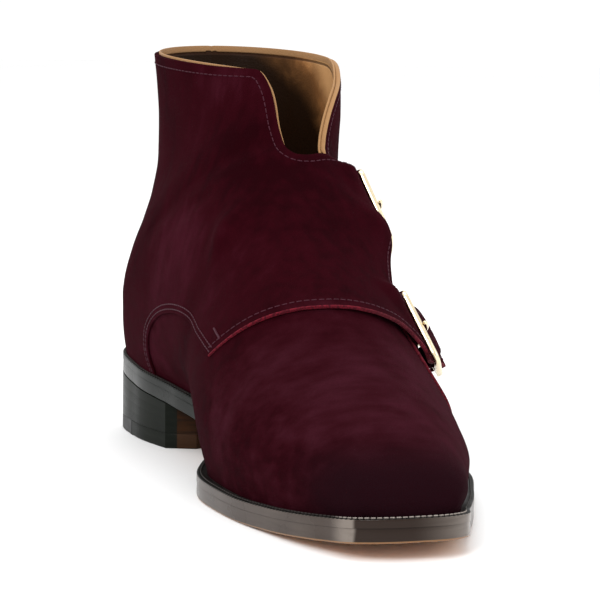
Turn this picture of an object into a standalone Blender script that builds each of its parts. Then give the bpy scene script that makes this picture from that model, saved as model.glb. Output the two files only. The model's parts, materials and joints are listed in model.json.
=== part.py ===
"""A double monk ankle boot, left shoe: a hollow upper on a welted leather sole with a low stacked heel.

Lengths in the tables are millimetres on the last: x runs outwards to the lateral side from the heel's
centre line, s runs forward from the rear of the heel, and z runs up from the floor. place() turns them
into metres in the world, where the toe points to -Y and the lateral side to +X.
"""

import math

import bmesh
import bpy
import numpy as np

MM = 0.001
GAP = 0.3

# Driving dimensions of the bottom.
SOLE_LENGTH = 308.0
OUTSOLE_THICKNESS = 5.2
WELT_THICKNESS = 2.8
WELT_HOLD = 0.6
HEEL_SEAT_TOP = 34.4
HEEL_SEAT_DROP = 0.103
HEEL_LENGTH = 83.0
NOTCH_LENGTH = 5.5
NOTCH_WIDTH = 11.5
BREAST_HOLLOW = 7.5
WAIST_STATION = 120.0
TOP_PIECE_THICKNESS = 6.0
RUBBER_LENGTH = 41.0
INSOLE_THICKNESS = 3.6
INSOLE_MARGIN = 1.6

# Driving dimensions of the upper.
WALL = 2.2
FOOT_GAP = 0.6
FLAP_THICKNESS = 2.0
TAB_CLEARANCE = 0.5

# Each strap runs down and back over the outer side. Its anchor is the middle of the buckle's front bar.
STRAP_SLOPE = math.radians(24.5)
STRAP_WIDTH = 23.0
STRAP_END = 27.0
STRAPS = (
    # name, anchor s, anchor z
    ("lower", 172.0, 56.0),
    ("upper", 128.3, 98.5),
)

# The buckles: a flat frame whose front bar lies over the strap and whose pin bar lies under it.
BUCKLE_HEIGHT = 32.0
BUCKLE_DEPTH = 19.0
BUCKLE_BAR = 3.0
BUCKLE_THICKNESS = 2.0
BUCKLE_CORNER = 4.0
PIN_BAR_BACK = BUCKLE_DEPTH - BUCKLE_BAR
FRONT_BAR_HEIGHT = 5.2
PIN_BAR_HEIGHT = 4.3
PRONG_RADIUS = 0.9
SLOT_START = 4.0
SLOT_END = 14.2
SLOT_WIDTH = 2.6
TAB_THICKNESS = 1.5
TAB_LENGTH = 36.0
TAB_WIDTH = 21.0

# The outline of the outsole, seen from above, from the rear of the heel round the lateral side.
SOLE_OUTLINE = (
    # name, x, s
    ("heel rear", -5.5, 0.0),
    ("heel rear, lateral", 17.5, 5.8),
    ("heel corner, lateral", 31.0, 21.5),
    ("heel side, lateral", 36.2, 50.0),
    ("waist, lateral", 36.9, 100.0),
    ("behind the ball, lateral", 44.0, 144.0),
    ("ball, lateral", 50.5, 175.0),
    ("ball front, lateral", 47.5, 201.0),
    ("forepart, lateral", 34.2, 238.0),
    ("toe side, lateral", 13.2, 285.0),
    ("toe corner, lateral", 4.6, 302.4),
    ("toe corner front, lateral", -3.0, 307.2),
    ("toe front", -11.5, SOLE_LENGTH),
    ("toe corner front, medial", -27.5, 305.4),
    ("toe corner, medial", -33.9, 300.8),
    ("toe side, medial", -39.6, 287.0),
    ("forepart, medial", -48.2, 250.0),
    ("ball, medial", -52.2, 215.0),
    ("behind the ball, medial", -49.4, 177.0),
    ("waist front, medial", -36.5, 151.0),
    ("waist, medial", -26.0, 118.0),
    ("heel breast, medial", -31.5, 84.0),
    ("heel side, medial", -36.6, 48.0),
    ("heel corner, medial", -30.0, 11.5),
)

# Underside of the outsole along the boot: heel seat, arch, flat tread and toe spring.
TREAD_REAR = 186.0
TREAD_FRONT = 224.0
TOE_SPRING = 6.2


def monotone(knots, values, at):
    """Cubic interpolation of a table that never overshoots it."""
    knots = np.asarray(knots, float)
    values = np.asarray(values, float)
    step = np.diff(knots)
    slope = np.diff(values) / step
    tangent = np.empty(len(knots))
    tangent[0], tangent[-1] = slope[0], slope[-1]
    before, after = slope[:-1], slope[1:]
    same_way = before * after > 0
    weight = np.where(same_way, before * after, 0.0)
    total = np.where(same_way, before + after, 1.0)
    tangent[1:-1] = 2 * weight / total
    at = np.clip(np.asarray(at, float), knots[0], knots[-1])
    span = np.clip(np.searchsorted(knots, at, side="right") - 1, 0, len(step) - 1)
    u = (at - knots[span]) / step[span]
    rise = u * u * (3 - 2 * u)
    return (
        values[span] * (1 - rise)
        + values[span + 1] * rise
        + step[span] * u * (1 - u) * ((1 - u) * tangent[span] - u * tangent[span + 1])
    )


def smooth_loop(points, per_span):
    """A closed curve through the points, with per_span steps between each two."""
    points = np.asarray(points, float)
    ahead = np.roll(points, -1, axis=0)
    behind = np.roll(points, 1, axis=0)
    chord = np.linalg.norm(ahead - points, axis=1)[:, None]
    last_chord = np.roll(chord, 1, axis=0)
    tangent = (
        (ahead - points) / chord * last_chord + (points - behind) / last_chord * chord
    ) / (chord + last_chord)
    u = (np.arange(per_span) / per_span)[None, :, None]
    rise = u * u * (3 - 2 * u)
    start, end = points[:, None], ahead[:, None]
    leave = (tangent * chord)[:, None]
    arrive = (np.roll(tangent, -1, axis=0) * chord)[:, None]
    curve = start * (1 - rise) + end * rise
    curve = curve + u * (1 - u) * ((1 - u) * leave - u * arrive)
    return curve.reshape(-1, 2)


OUTLINE = smooth_loop([row[1:] for row in SOLE_OUTLINE], 24)
MOST_LATERAL = OUTLINE[:, 0].max()
MOST_MEDIAL = OUTLINE[:, 0].min()


def place(x, s, z):
    """Last coordinates in millimetres to world coordinates in metres."""
    x, s, z = np.broadcast_arrays(x, s, z)
    across = x - (MOST_LATERAL + MOST_MEDIAL) / 2
    along = SOLE_LENGTH / 2 - s
    return np.stack([across, along, z], axis=-1) * MM


def inset_loop(inset):
    """The sole's outline drawn in by a distance, which may differ from point to point."""
    tangent = np.roll(OUTLINE, -1, axis=0) - np.roll(OUTLINE, 1, axis=0)
    tangent /= np.linalg.norm(tangent, axis=1)[:, None]
    inward = np.stack([-tangent[:, 1], tangent[:, 0]], axis=1)
    return OUTLINE + inward * np.reshape(inset, (-1, 1))


def edge_x(loop, s, side):
    """Where a loop crosses station s, on the lateral side (+1) or the medial side (-1)."""
    rear, front = np.argmin(loop[:, 1]), np.argmax(loop[:, 1])
    count = len(loop)
    if side > 0:
        way = np.arange(rear, rear + (front - rear) % count + 1) % count
    else:
        way = np.arange(rear, rear - (rear - front) % count - 1, -1) % count
    stations = np.maximum.accumulate(loop[way, 1])
    return np.interp(s, stations, loop[way, 0])


def sole_bottom(s):
    """Height of the outsole's underside: straight over the heel, then the arch, tread and toe spring."""
    seat = HEEL_SEAT_TOP - OUTSOLE_THICKNESS - GAP - WELT_THICKNESS
    rows = [(at, seat - HEEL_SEAT_DROP * at) for at in (-10.0, 40.0, 90.0)]
    rows += [(112.0, 12.9), (136.0, 7.0), (160.0, 2.4), (TREAD_REAR, 0.0), (TREAD_FRONT, 0.0)]
    rows += [(252.0, 1.0), (280.0, 3.2), (SOLE_LENGTH + 2, TOE_SPRING + 0.2)]
    knots, heights = zip(*rows)
    return monotone(knots, heights, s)


def sole_top(s):
    return sole_bottom(s) + OUTSOLE_THICKNESS


def welt_bottom(s):
    return sole_top(s) + GAP


def welt_top(s):
    return welt_bottom(s) + WELT_THICKNESS


def insole_top(s):
    return welt_bottom(s) + INSOLE_THICKNESS


def feather_margin(s):
    """How far the upper's foot stands in from the sole's edge."""
    return monotone([0, 60, 100, 140, 180, 240, 308], [2.0, 1.8, 2.2, 3.0, 3.5, 2.9, 3.6], s)


# The upper: sections in planes that turn from upright at the toe to level at the collar. Each runs from
# its foot, on the sole or on the back seam, to its ridge on the front of the boot. On either side it is
# widest at its belly, a share of the way up. From there a fullness of 2 is round and 1 is straight.
SECTIONS = (
    # name, foot s, foot z (0: on the welt), ridge s, ridge z, centre x, crown,
    # lateral: widest x, belly, fullness, medial: widest x, belly, fullness
    ("toe foot", 304.4, 0, 304.4, 15.0, -12.0, 2.5, -9.0, 0.40, 2.4, -15.0, 0.40, 2.4),
    ("toe face", 303.9, 0, 303.9, 18.4, -13.0, 2.5, -3.4, 0.40, 2.4, -22.0, 0.40, 2.4),
    ("toe edge", 302.2, 0, 302.2, 22.8, -14.0, 2.5, 1.6, 0.40, 2.4, -28.4, 0.40, 2.4),
    ("toe top", 298.4, 0, 298.4, 27.0, -14.5, 2.4, 5.6, 0.38, 2.3, -32.6, 0.38, 2.4),
    ("toe box", 291.5, 0, 291.5, 31.2, -14.2, 2.3, 9.9, 0.34, 2.1, -35.6, 0.36, 2.3),
    ("toe box rear", 280.0, 0, 280.0, 36.0, -13.6, 2.2, 14.7, 0.30, 1.9, -39.6, 0.34, 2.2),
    ("vamp front", 265.0, 0, 265.0, 41.8, -12.6, 2.1, 21.0, 0.26, 1.7, -44.0, 0.32, 2.1),
    ("vamp", 248.0, 0, 248.0, 48.0, -11.3, 2.0, 28.4, 0.23, 1.55, -47.6, 0.31, 2.0),
    ("vamp rear", 230.0, 0, 230.0, 55.0, -9.9, 1.9, 36.0, 0.20, 1.35, -50.4, 0.30, 1.9),
    ("ball", 212.0, 0, 212.0, 63.2, -8.6, 1.85, 42.4, 0.17, 1.28, -51.8, 0.29, 1.85),
    ("ball rear", 194.0, 0, 195.5, 72.4, -7.2, 1.8, 46.4, 0.18, 1.25, -51.6, 0.29, 1.8),
    ("instep front", 174.0, 0, 179.0, 81.6, -5.6, 1.8, 47.4, 0.21, 1.26, -49.6, 0.30, 1.8),
    ("instep", 150.0, 0, 163.5, 91.4, -3.8, 1.9, 46.0, 0.26, 1.37, -45.6, 0.33, 1.8),
    ("waist", 120.0, 0, 150.5, 101.0, -1.8, 2.1, 44.8, 0.33, 1.72, -41.4, 0.36, 1.85),
    ("waist rear", 88.0, 0, 141.0, 109.0, 0.0, 2.2, 43.6, 0.38, 2.08, -40.4, 0.38, 1.85),
    ("heel front", 58.0, 0, 134.5, 115.2, 1.4, 2.25, 42.2, 0.41, 2.25, -40.6, 0.38, 1.8),
    ("heel", 30.0, 0, 129.8, 120.4, 2.4, 2.2, 40.4, 0.42, 2.2, -40.8, 0.37, 1.8),
    ("heel corner", 11.0, 0, 127.0, 124.0, 2.8, 2.15, 39.6, 0.42, 2.1, -40.4, 0.37, 1.8),
    ("seat rear", 1.9, 0, 125.2, 126.6, 3.2, 2.1, 39.2, 0.42, 2.05, -39.6, 0.37, 1.85),
    ("counter", 0.9, 50.0, 123.2, 130.2, 3.6, 2.1, 39.2, 0.42, 2.0, -36.6, 0.39, 1.9),
    ("counter top", 1.2, 66.0, 121.2, 134.4, 4.2, 2.1, 39.6, 0.43, 2.0, -32.0, 0.41, 2.0),
    ("shaft foot", 4.0, 84.0, 119.2, 139.0, 4.8, 2.1, 40.2, 0.43, 2.0, -28.2, 0.42, 2.0),
    ("shaft", 7.4, 104.0, 117.0, 143.6, 5.4, 2.1, 40.8, 0.44, 2.0, -26.4, 0.44, 2.0),
    ("shaft top", 9.0, 124.0, 114.8, 147.0, 5.8, 2.1, 41.2, 0.44, 2.0, -26.4, 0.44, 2.0),
    ("collar foot", 8.4, 142.0, 112.6, 149.4, 6.2, 2.1, 41.6, 0.44, 2.0, -27.0, 0.44, 2.0),
    ("collar", 6.5, 158.0, 110.5, 152.0, 6.6, 2.1, 42.0, 0.44, 2.0, -27.8, 0.44, 2.0),
)
SEAT_REAR = [row[0] for row in SECTIONS].index("seat rear")
BELLY_STEP = 0.36


def section_value(column, t):
    return monotone(range(len(SECTIONS)), [row[column] for row in SECTIONS], t)


FOOT_LOOP = inset_loop(feather_margin(OUTLINE[:, 1]))
FOOT_REAR = FOOT_LOOP[:, 1].min()
FOOT_FRONT = FOOT_LOOP[:, 1].max()


def upper_point(t, girth):
    """A point of the upper's outer face: t counts along SECTIONS, girth runs from -1 at the medial foot
    over 0 on the ridge to 1 at the lateral foot. Returns x, s, z in an array."""
    t, girth = np.broadcast_arrays(np.asarray(t, float), np.asarray(girth, float))
    on_welt = t <= SEAT_REAR
    foot_s = section_value(1, t)
    foot_s = np.where(on_welt, np.clip(foot_s, FOOT_REAR, FOOT_FRONT), foot_s)
    seam_z = monotone(
        range(SEAT_REAR, len(SECTIONS)),
        [welt_top(FOOT_REAR) + FOOT_GAP] + [row[2] for row in SECTIONS[SEAT_REAR + 1 :]],
        t,
    )
    foot_z = np.where(on_welt, welt_top(foot_s) + FOOT_GAP, seam_z)
    ridge_s, ridge_z = section_value(3, t), section_value(4, t)
    centre, crown = section_value(5, t), section_value(6, t)
    lateral = girth > 0
    widest, belly, fullness = (
        np.where(lateral, section_value(7 + column, t), section_value(10 + column, t))
        for column in range(3)
    )
    widest = widest - centre
    foot_x = np.where(lateral, edge_x(FOOT_LOOP, foot_s, 1), edge_x(FOOT_LOOP, foot_s, -1))
    rear_x = edge_x(FOOT_LOOP, FOOT_REAR, 1)
    seam_x = rear_x + (centre - rear_x) * np.clip((t - SEAT_REAR) / 3, 0, 1)
    foot_x = np.where(on_welt, foot_x, seam_x) - centre
    up = 1 - np.abs(girth)
    low = np.clip(up / BELLY_STEP, 0, 1) * math.pi / 2
    high = np.clip((up - BELLY_STEP) / (1 - BELLY_STEP), 0, 1) * math.pi / 2
    below = up < BELLY_STEP
    foot_share = np.clip(foot_x / widest, 0, 0.995)
    swell = np.sqrt(1 - (1 - foot_share**2) * np.cos(low) ** 2)
    low_x = foot_x + (widest - foot_x) * (swell - foot_share) / (1 - foot_share)
    high_x = widest * np.cos(high) ** (2 / crown)
    x = centre + np.where(below, low_x, high_x)
    climb = belly + (1 - belly) * np.sin(high) ** (2 / fullness)
    way = np.where(below, belly * (1 - np.cos(low)), climb)
    s = foot_s + way * (ridge_s - foot_s)
    z = foot_z + way * (ridge_z - foot_z)
    return np.stack([x, s, z], axis=-1)


def upper_normal(t, girth):
    """The outward direction of the upper's outer face."""
    step = 1e-3
    along = upper_point(np.asarray(t) + step, girth) - upper_point(np.asarray(t) - step, girth)
    around = upper_point(t, np.asarray(girth) + step) - upper_point(t, np.asarray(girth) - step)
    normal = np.cross(along, around)
    return normal / np.linalg.norm(normal, axis=-1, keepdims=True)


def off_upper(t, girth, height):
    """A point at a height over the upper's outer face."""
    return upper_point(t, girth) + upper_normal(t, girth) * np.asarray(height)[..., None]


def section_line(t):
    """Side view of a section: its foot and its ridge, each as s and z."""
    t = np.asarray(t, float)
    return upper_point(t, np.full(t.shape, 1.0))[..., 1:], upper_point(t, np.zeros(t.shape))[..., 1:]


def lateral_place(s, z):
    """Where on the upper's lateral side a point of the side view lies, as t and girth."""
    fan = np.linspace(6.0, len(SECTIONS) - 1.0, 1500)
    foot, ridge = section_line(fan)
    reach = ridge - foot
    across = reach[:, 0] * (z - foot[:, 1]) - reach[:, 1] * (s - foot[:, 0])
    crossing = np.nonzero(np.diff(np.sign(across)))[0][0]
    share = across[crossing] / (across[crossing] - across[crossing + 1])
    t = fan[crossing] + share * (fan[crossing + 1] - fan[crossing])
    foot, ridge = section_line(np.array([t]))
    way = np.linalg.norm([s - foot[0, 0], z - foot[0, 1]]) / np.linalg.norm(ridge - foot)
    belly, fullness = section_value(8, t), section_value(9, t)
    if way < belly:
        up = BELLY_STEP * math.acos(1 - way / belly) * 2 / math.pi
    else:
        climb = ((way - belly) / (1 - belly)) ** (fullness / 2)
        up = BELLY_STEP + (1 - BELLY_STEP) * math.asin(min(climb, 1.0)) * 2 / math.pi
    return float(t), 1 - up


def on_strap(anchor, back, aside):
    """Side view of a point on a strap: how far back from the front bar, and how far up from its middle."""
    s = anchor[0] - back * math.cos(STRAP_SLOPE) - aside * math.sin(STRAP_SLOPE)
    z = anchor[1] - back * math.sin(STRAP_SLOPE) + aside * math.cos(STRAP_SLOPE)
    return lateral_place(s, z)


def fresh_collection(name):
    for obj in list(bpy.data.objects):
        bpy.data.objects.remove(obj)
    collection = bpy.data.collections.new(name)
    bpy.context.scene.collection.children.link(collection)
    return collection


BOOT = fresh_collection("double_monk_ankle_boot")
CUTTERS = bpy.data.collections.new("cutters")
CUTTERS.hide_render = True
bpy.context.scene.collection.children.link(CUTTERS)


def finish(name, colour, roughness, metallic=0.0):
    material = bpy.data.materials.new(name)
    material.use_nodes = True
    shader = material.node_tree.nodes["Principled BSDF"]
    shader.inputs["Base Color"].default_value = (*colour, 1)
    shader.inputs["Roughness"].default_value = roughness
    shader.inputs["Metallic"].default_value = metallic
    return material


def piece(name, points, faces, material):
    """A mesh object from world points and faces, with its faces turned outwards."""
    mesh = bpy.data.meshes.new(name)
    mesh.from_pydata([tuple(point) for point in points], [], faces)
    work = bmesh.new()
    work.from_mesh(mesh)
    bmesh.ops.remove_doubles(work, verts=work.verts, dist=1e-6)
    bmesh.ops.dissolve_degenerate(work, edges=work.edges, dist=1e-6)
    bmesh.ops.recalc_face_normals(work, faces=work.faces)
    work.to_mesh(mesh)
    work.free()
    if material:
        mesh.materials.append(material)
    obj = bpy.data.objects.new(name, mesh)
    BOOT.objects.link(obj)
    return obj


def grid_faces(rows, columns, start=0):
    """Quads of a grid whose points are listed row by row."""
    corners = [(row, column) for row in range(rows - 1) for column in range(columns - 1)]
    return [
        (
            start + row * columns + column,
            start + row * columns + column + 1,
            start + (row + 1) * columns + column + 1,
            start + (row + 1) * columns + column,
        )
        for row, column in corners
    ]


def eased(first, last, steps):
    """Stations from first to last that crowd together at both ends."""
    return first + (last - first) * (1 - np.cos(np.linspace(0, math.pi, steps))) / 2


def plate(name, loop, stations, bottom, top, material, columns=3):
    """A plate that bends along the boot: sections across it, joined and closed at both ends."""
    rings = []
    for s in stations:
        across = np.linspace(edge_x(loop, s, -1), edge_x(loop, s, 1), columns)
        rings.append(place(across, s, bottom(s)))
        rings[-1] = np.concatenate([rings[-1], place(across[::-1], s, top(s))])
    around = 2 * columns
    faces = []
    for row in range(len(rings) - 1):
        for column in range(around):
            following = (column + 1) % around
            low, high = row * around, (row + 1) * around
            faces.append((low + column, low + following, high + following, high + column))
    last = (len(rings) - 1) * around
    for start in (0, last):
        for column in range(columns - 1):
            far = around - 1 - column
            faces.append((start + column, start + column + 1, start + far - 1, start + far))
    return piece(name, np.concatenate(rings), faces, material)


def band(name, layers, material):
    """A closed strip: each layer is a closed loop of world points, joined to the next, and the last to
    the first."""
    count = len(layers[0])
    faces = []
    for layer in range(len(layers)):
        low, high = layer * count, (layer + 1) % len(layers) * count
        for index in range(count):
            following = (index + 1) % count
            faces.append((low + index, low + following, high + following, high + index))
    return piece(name, np.concatenate(layers), faces, material)


def block(name, loop, bottom, top, material):
    """A solid between two heights over a flat outline."""
    count = len(loop)
    low = place(loop[:, 0], loop[:, 1], bottom(loop[:, 1]))
    high = place(loop[:, 0], loop[:, 1], top(loop[:, 1]))
    sides = [(i, (i + 1) % count, count + (i + 1) % count, count + i) for i in range(count)]
    caps = [tuple(range(count)), tuple(range(count, 2 * count))]
    return piece(name, np.concatenate([low, high]), sides + caps, material)


def make_outsole(material):
    stations = np.concatenate(
        [
            [0.15, 0.6, 1.4, 3.0, 5.5, 9.0, 14.0, 21.0, 30.0, 42.0, 58.0, 74.0],
            np.arange(86.0, TREAD_REAR, 10.0),
            [TREAD_REAR, 199.0, 212.0, TREAD_FRONT],
            np.arange(234.0, 294.0, 10.0),
            [296.0, 299.5, 302.0, 304.0, 305.4, 306.6, 307.4, 307.85],
        ]
    )
    return plate("outsole", OUTLINE, stations, sole_bottom, sole_top, material)


def make_welt(material):
    thinned = slice(None, None, 4)
    outer = OUTLINE[thinned]
    inner = inset_loop(feather_margin(OUTLINE[:, 1]) + WALL + WELT_HOLD)[thinned]
    layers = [(outer, welt_bottom), (outer, welt_top), (inner, welt_top), (inner, welt_bottom)]
    rings = [place(loop[:, 0], loop[:, 1], height(loop[:, 1])) for loop, height in layers]
    return band("welt", rings, material)


def heel_loop(rear, front):
    """Outline of the heel between two stations, with the hollow breast and the notch at its inner
    corner where it reaches them."""
    around = OUTLINE[::3]
    from_waist = np.where(around[:, 0] < 0, np.abs(around[:, 1] - WAIST_STATION), np.inf)
    around = np.roll(around, -np.argmin(from_waist), axis=0)
    kept = around[(around[:, 1] > rear) & (around[:, 1] < min(front, HEEL_LENGTH - NOTCH_LENGTH))]
    side = [(edge_x(OUTLINE, front, 1), front)]
    if front < HEEL_LENGTH:
        return np.vstack([kept, side, [(edge_x(OUTLINE, front, -1), front)]])
    inner = edge_x(OUTLINE, HEEL_LENGTH - NOTCH_LENGTH, -1)
    x = np.linspace(side[0][0], inner + NOTCH_WIDTH, 13)
    middle, half = (x[0] + x[-1]) / 2, (x[0] - x[-1]) / 2
    breast = np.stack([x, front - BREAST_HOLLOW * (1 - ((x - middle) / half) ** 2)], axis=1)
    notch = [(inner, HEEL_LENGTH - NOTCH_LENGTH)]
    return np.vstack([kept, breast, notch])


def make_heel(stack_finish, leather, rubber):
    top_piece = TOP_PIECE_THICKNESS
    block(
        "heel_stack",
        heel_loop(-1, HEEL_LENGTH),
        lambda s: np.full(s.shape, top_piece + GAP),
        lambda s: sole_bottom(s) - GAP,
        stack_finish,
    )
    for name, rear, front, material in (
        ("top_piece_rubber", -1, RUBBER_LENGTH, rubber),
        ("top_piece_leather", RUBBER_LENGTH + GAP, HEEL_LENGTH, leather),
    ):
        block(
            name,
            heel_loop(rear, front),
            lambda s: np.zeros(s.shape),
            lambda s: np.full(s.shape, top_piece),
            material,
        )


def make_insole(material):
    loop = inset_loop(feather_margin(OUTLINE[:, 1]) + WALL + INSOLE_MARGIN)
    rear, front = loop[:, 1].min(), loop[:, 1].max()
    stations = eased(rear + 0.2, front - 0.2, 34)
    return plate("insole", loop, stations, welt_bottom, insole_top, material)


def make_upper(material):
    rows = np.concatenate(
        [
            np.linspace(0, 5, 11)[:-1],
            np.linspace(5, SEAT_REAR - 1, 22)[:-1],
            np.linspace(SEAT_REAR - 1, SEAT_REAR, 3)[:-1],
            np.linspace(SEAT_REAR, len(SECTIONS) - 1, 12),
        ]
    )
    girths = np.linspace(-1, 1, 35)
    points = upper_point(rows[:, None], girths[None, :])
    world = place(points[..., 0], points[..., 1], points[..., 2]).reshape(-1, 3)
    upper = piece("upper", world, grid_faces(len(rows), len(girths)), material)
    wall = upper.modifiers.new("wall", "SOLIDIFY")
    wall.thickness = WALL * MM
    wall.offset = -1
    wall.use_even_offset = True
    cut(upper, "throat", make_throat_cutter())
    return upper


def cut(obj, name, cutter):
    modifier = obj.modifiers.new(name, "BOOLEAN")
    modifier.operation = "DIFFERENCE"
    modifier.object = cutter


def cutter_of(obj):
    BOOT.objects.unlink(obj)
    CUTTERS.objects.link(obj)
    obj.hide_render = True
    obj.display_type = "WIRE"
    return obj


# The throat's outline, seen squarely from in front of the outer quarter: aside grows to the outer side.
THROAT_TURN = math.radians(37.4)
THROAT_NEAR = 78.0
THROAT_FAR = 140.0
THROAT = (
    # name, aside, z
    ("inner quarter, top", -65.0, 172.0),
    ("inner quarter, collar", -69.0, 151.5),
    ("inner quarter, middle", -72.4, 141.0),
    ("inner quarter, low", -75.2, 131.0),
    ("inner quarter, foot", -78.0, 121.0),
    ("foot, inner", -76.5, 114.0),
    ("foot, outer", -69.0, 112.5),
    ("outer quarter, foot", -61.0, 121.0),
    ("outer quarter, middle", -48.0, 133.0),
    ("outer quarter, collar", -23.5, 154.0),
    ("outer quarter, top", -5.0, 172.0),
)


def make_throat_cutter():
    aside = np.array([row[1] for row in THROAT])
    height = np.array([row[2] for row in THROAT])
    turn_cos, turn_sin = math.cos(THROAT_TURN), math.sin(THROAT_TURN)
    ends = [
        place(aside * turn_cos + out * turn_sin, -aside * turn_sin + out * turn_cos, height)
        for out in (THROAT_NEAR, THROAT_FAR)
    ]
    count = len(THROAT)
    sides = [(i, (i + 1) % count, count + (i + 1) % count, count + i) for i in range(count)]
    caps = [tuple(range(count)), tuple(range(count, 2 * count))]
    return cutter_of(piece("throat_cutter", np.concatenate(ends), sides + caps, None))


# The flap over the instep, column by column from its seam on the inner side to the straps' roots. Each
# line is given by t and girth: its front edge, the two lines that run into the gap between the straps,
# and its top edge. Its height is the clearance under it.
FLAP_BODY = (
    # name, height, front t, girth, low gap t, girth, high gap t, girth, top t, girth
    ("seam", 0.6, 10.99, -0.462, 12.6, -0.330, 14.4, -0.180, 16.30, -0.030),
    ("inner side", 0.6, 10.13, -0.244, 11.9, -0.180, 14.0, -0.100, 15.90, -0.005),
    ("ridge", 0.6, 9.70, -0.010, 11.6, 0.000, 13.7, 0.010, 15.75, 0.040),
    ("outer side", 0.7, 10.00, 0.180, 11.45, 0.110, 13.5, 0.120, 16.20, 0.120),
    ("shoulder", 1.2, 10.50, 0.300, 11.45, 0.215, 13.5, 0.250, 16.40, 0.200),
)
# Past the flap each strap dives under its buckle's front bar and climbs over the pin bar.
UNDER_FRONT_BAR = -BUCKLE_THICKNESS / 2 - GAP - FLAP_THICKNESS
OVER_PIN_BAR = BUCKLE_THICKNESS / 2 + GAP
STRAP_CROWN = 1.3
STRAP_COLUMNS = (
    # name, back from the front bar, height of the strap's inner face over the buckle's plane
    ("front bar", 0.0, UNDER_FRONT_BAR - STRAP_CROWN),
    ("behind the front bar", 2.6, UNDER_FRONT_BAR - STRAP_CROWN),
    ("before the pin bar", PIN_BAR_BACK - 2.4, OVER_PIN_BAR + 0.3),
    ("pin bar", PIN_BAR_BACK, OVER_PIN_BAR + 0.3),
    ("end", STRAP_END, OVER_PIN_BAR - 2.4),
)
LOWEST_STRAP = 0.5
FLAP_STEPS = 3


def strap_frame(anchor):
    """The buckle's own directions: its middle, back along the strap, up along its bars, and outwards."""
    front = off_upper(*on_strap(anchor, 0, 0), FRONT_BAR_HEIGHT)
    pin = off_upper(*on_strap(anchor, PIN_BAR_BACK, 0), PIN_BAR_HEIGHT)
    back = (pin - front) / np.linalg.norm(pin - front)
    out = upper_normal(*on_strap(anchor, PIN_BAR_BACK / 2, 0))
    out = out - back * np.dot(out, back)
    out /= np.linalg.norm(out)
    up = np.cross(back, out)
    up *= np.sign(up[2])
    return front, pin, back, up, out


def strap_height(anchor, back, aside, over_plane):
    """How far a strap's inner face stands off the upper where it is to lie over the buckle's plane."""
    front, _, _, _, out = strap_frame(anchor)
    at = on_strap(anchor, back, aside)
    to_plane = np.dot(front - upper_point(*at), out) / np.dot(upper_normal(*at), out)
    return max(to_plane + over_plane, LOWEST_STRAP)


def flap_lines():
    """For each column of the flap, the t, girth and height of its four lines."""
    columns = []
    for _, height, *line_places in FLAP_BODY:
        places = zip(line_places[::2], line_places[1::2])
        columns.append([(t, girth, height) for t, girth in places])
    half = STRAP_WIDTH / 2
    for _, back, over_plane in STRAP_COLUMNS:
        column = []
        for _, *anchor in STRAPS:
            for aside in (-half, half):
                height = strap_height(anchor, back, aside, over_plane)
                column.append((*on_strap(anchor, back, aside), height))
        columns.append(column)
    return np.array(columns)


def make_flap(material):
    lines = flap_lines()
    knots = np.arange(len(lines))
    columns = np.linspace(0, knots[-1], 4 * len(knots) - 3)
    edges = np.array(
        [[monotone(knots, lines[:, line, value], columns) for value in range(3)] for line in range(4)]
    )
    tip = np.clip((columns - knots[-1] + 0.5) / 0.5, 0, 1)
    narrowing = 1 - 0.75 * (1 - np.sqrt(1 - tip**2))
    for low, high in ((0, 1), (2, 3)):
        middle = (edges[low] + edges[high]) / 2
        edges[low] = middle + (edges[low] - middle) * narrowing
        edges[high] = middle + (edges[high] - middle) * narrowing
    steps = (FLAP_STEPS, FLAP_STEPS + 1, FLAP_STEPS)
    rows = []
    for zone, count in enumerate(steps):
        for share in np.arange(count) / count:
            rows.append(edges[zone] * (1 - share) + edges[zone + 1] * share)
    rows.append(edges[3])
    rows = np.array(rows)
    points = off_upper(rows[:, 0], rows[:, 1], rows[:, 2])
    world = place(points[..., 0], points[..., 1], points[..., 2]).reshape(-1, 3)
    width = len(columns)
    faces = []
    for face in grid_faces(len(rows), width):
        row, column = divmod(face[0], width)
        in_gap = steps[0] <= row < steps[0] + steps[1] and columns[column] >= len(FLAP_BODY)
        if not in_gap:
            faces.append(face)
    flap = piece("monk_flap", world, faces, material)
    leather = flap.modifiers.new("leather", "SOLIDIFY")
    leather.thickness = FLAP_THICKNESS * MM
    leather.offset = 1
    leather.use_even_offset = True
    for name, *anchor in STRAPS:
        cut(flap, f"{name} slot", make_slot_cutter(name, anchor))
    return flap


def in_frame(anchor, back, up, out):
    """World points given in a buckle's own directions, from the middle of its front bar."""
    front, _, back_way, up_way, out_way = strap_frame(anchor)
    steps = np.stack(np.broadcast_arrays(back, up, out), axis=-1)
    points = front + steps @ np.array([back_way, up_way, out_way])
    return place(points[..., 0], points[..., 1], points[..., 2])


def make_slot_cutter(name, anchor):
    """A bar that cuts the prong's slot through the strap."""
    corners = [(SLOT_START, -1), (SLOT_END, -1), (SLOT_END, 1), (SLOT_START, 1)]
    back = np.array([corner[0] for corner in corners])
    up = np.array([corner[1] for corner in corners]) * SLOT_WIDTH / 2
    points = np.concatenate([in_frame(anchor, back, up, -6.0), in_frame(anchor, back, up, 8.0)])
    sides = [(i, (i + 1) % 4, 4 + (i + 1) % 4, 4 + i) for i in range(4)]
    caps = [(0, 1, 2, 3), (4, 5, 6, 7)]
    return cutter_of(piece(f"{name}_slot_cutter", points, sides + caps, None))


def rounded_frame(width, height, corner, steps=4):
    """A rectangle with round corners about the origin, as points u, v."""
    points = []
    for quarter in range(4):
        turn = math.pi / 2 * quarter
        for step in range(steps + 1):
            angle = turn + math.pi / 2 * step / steps
            u = math.copysign(width / 2 - corner, math.cos(turn + math.pi / 4))
            v = math.copysign(height / 2 - corner, math.sin(turn + math.pi / 4))
            points.append((u + corner * math.cos(angle), v + corner * math.sin(angle)))
    return np.array(points)


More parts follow.
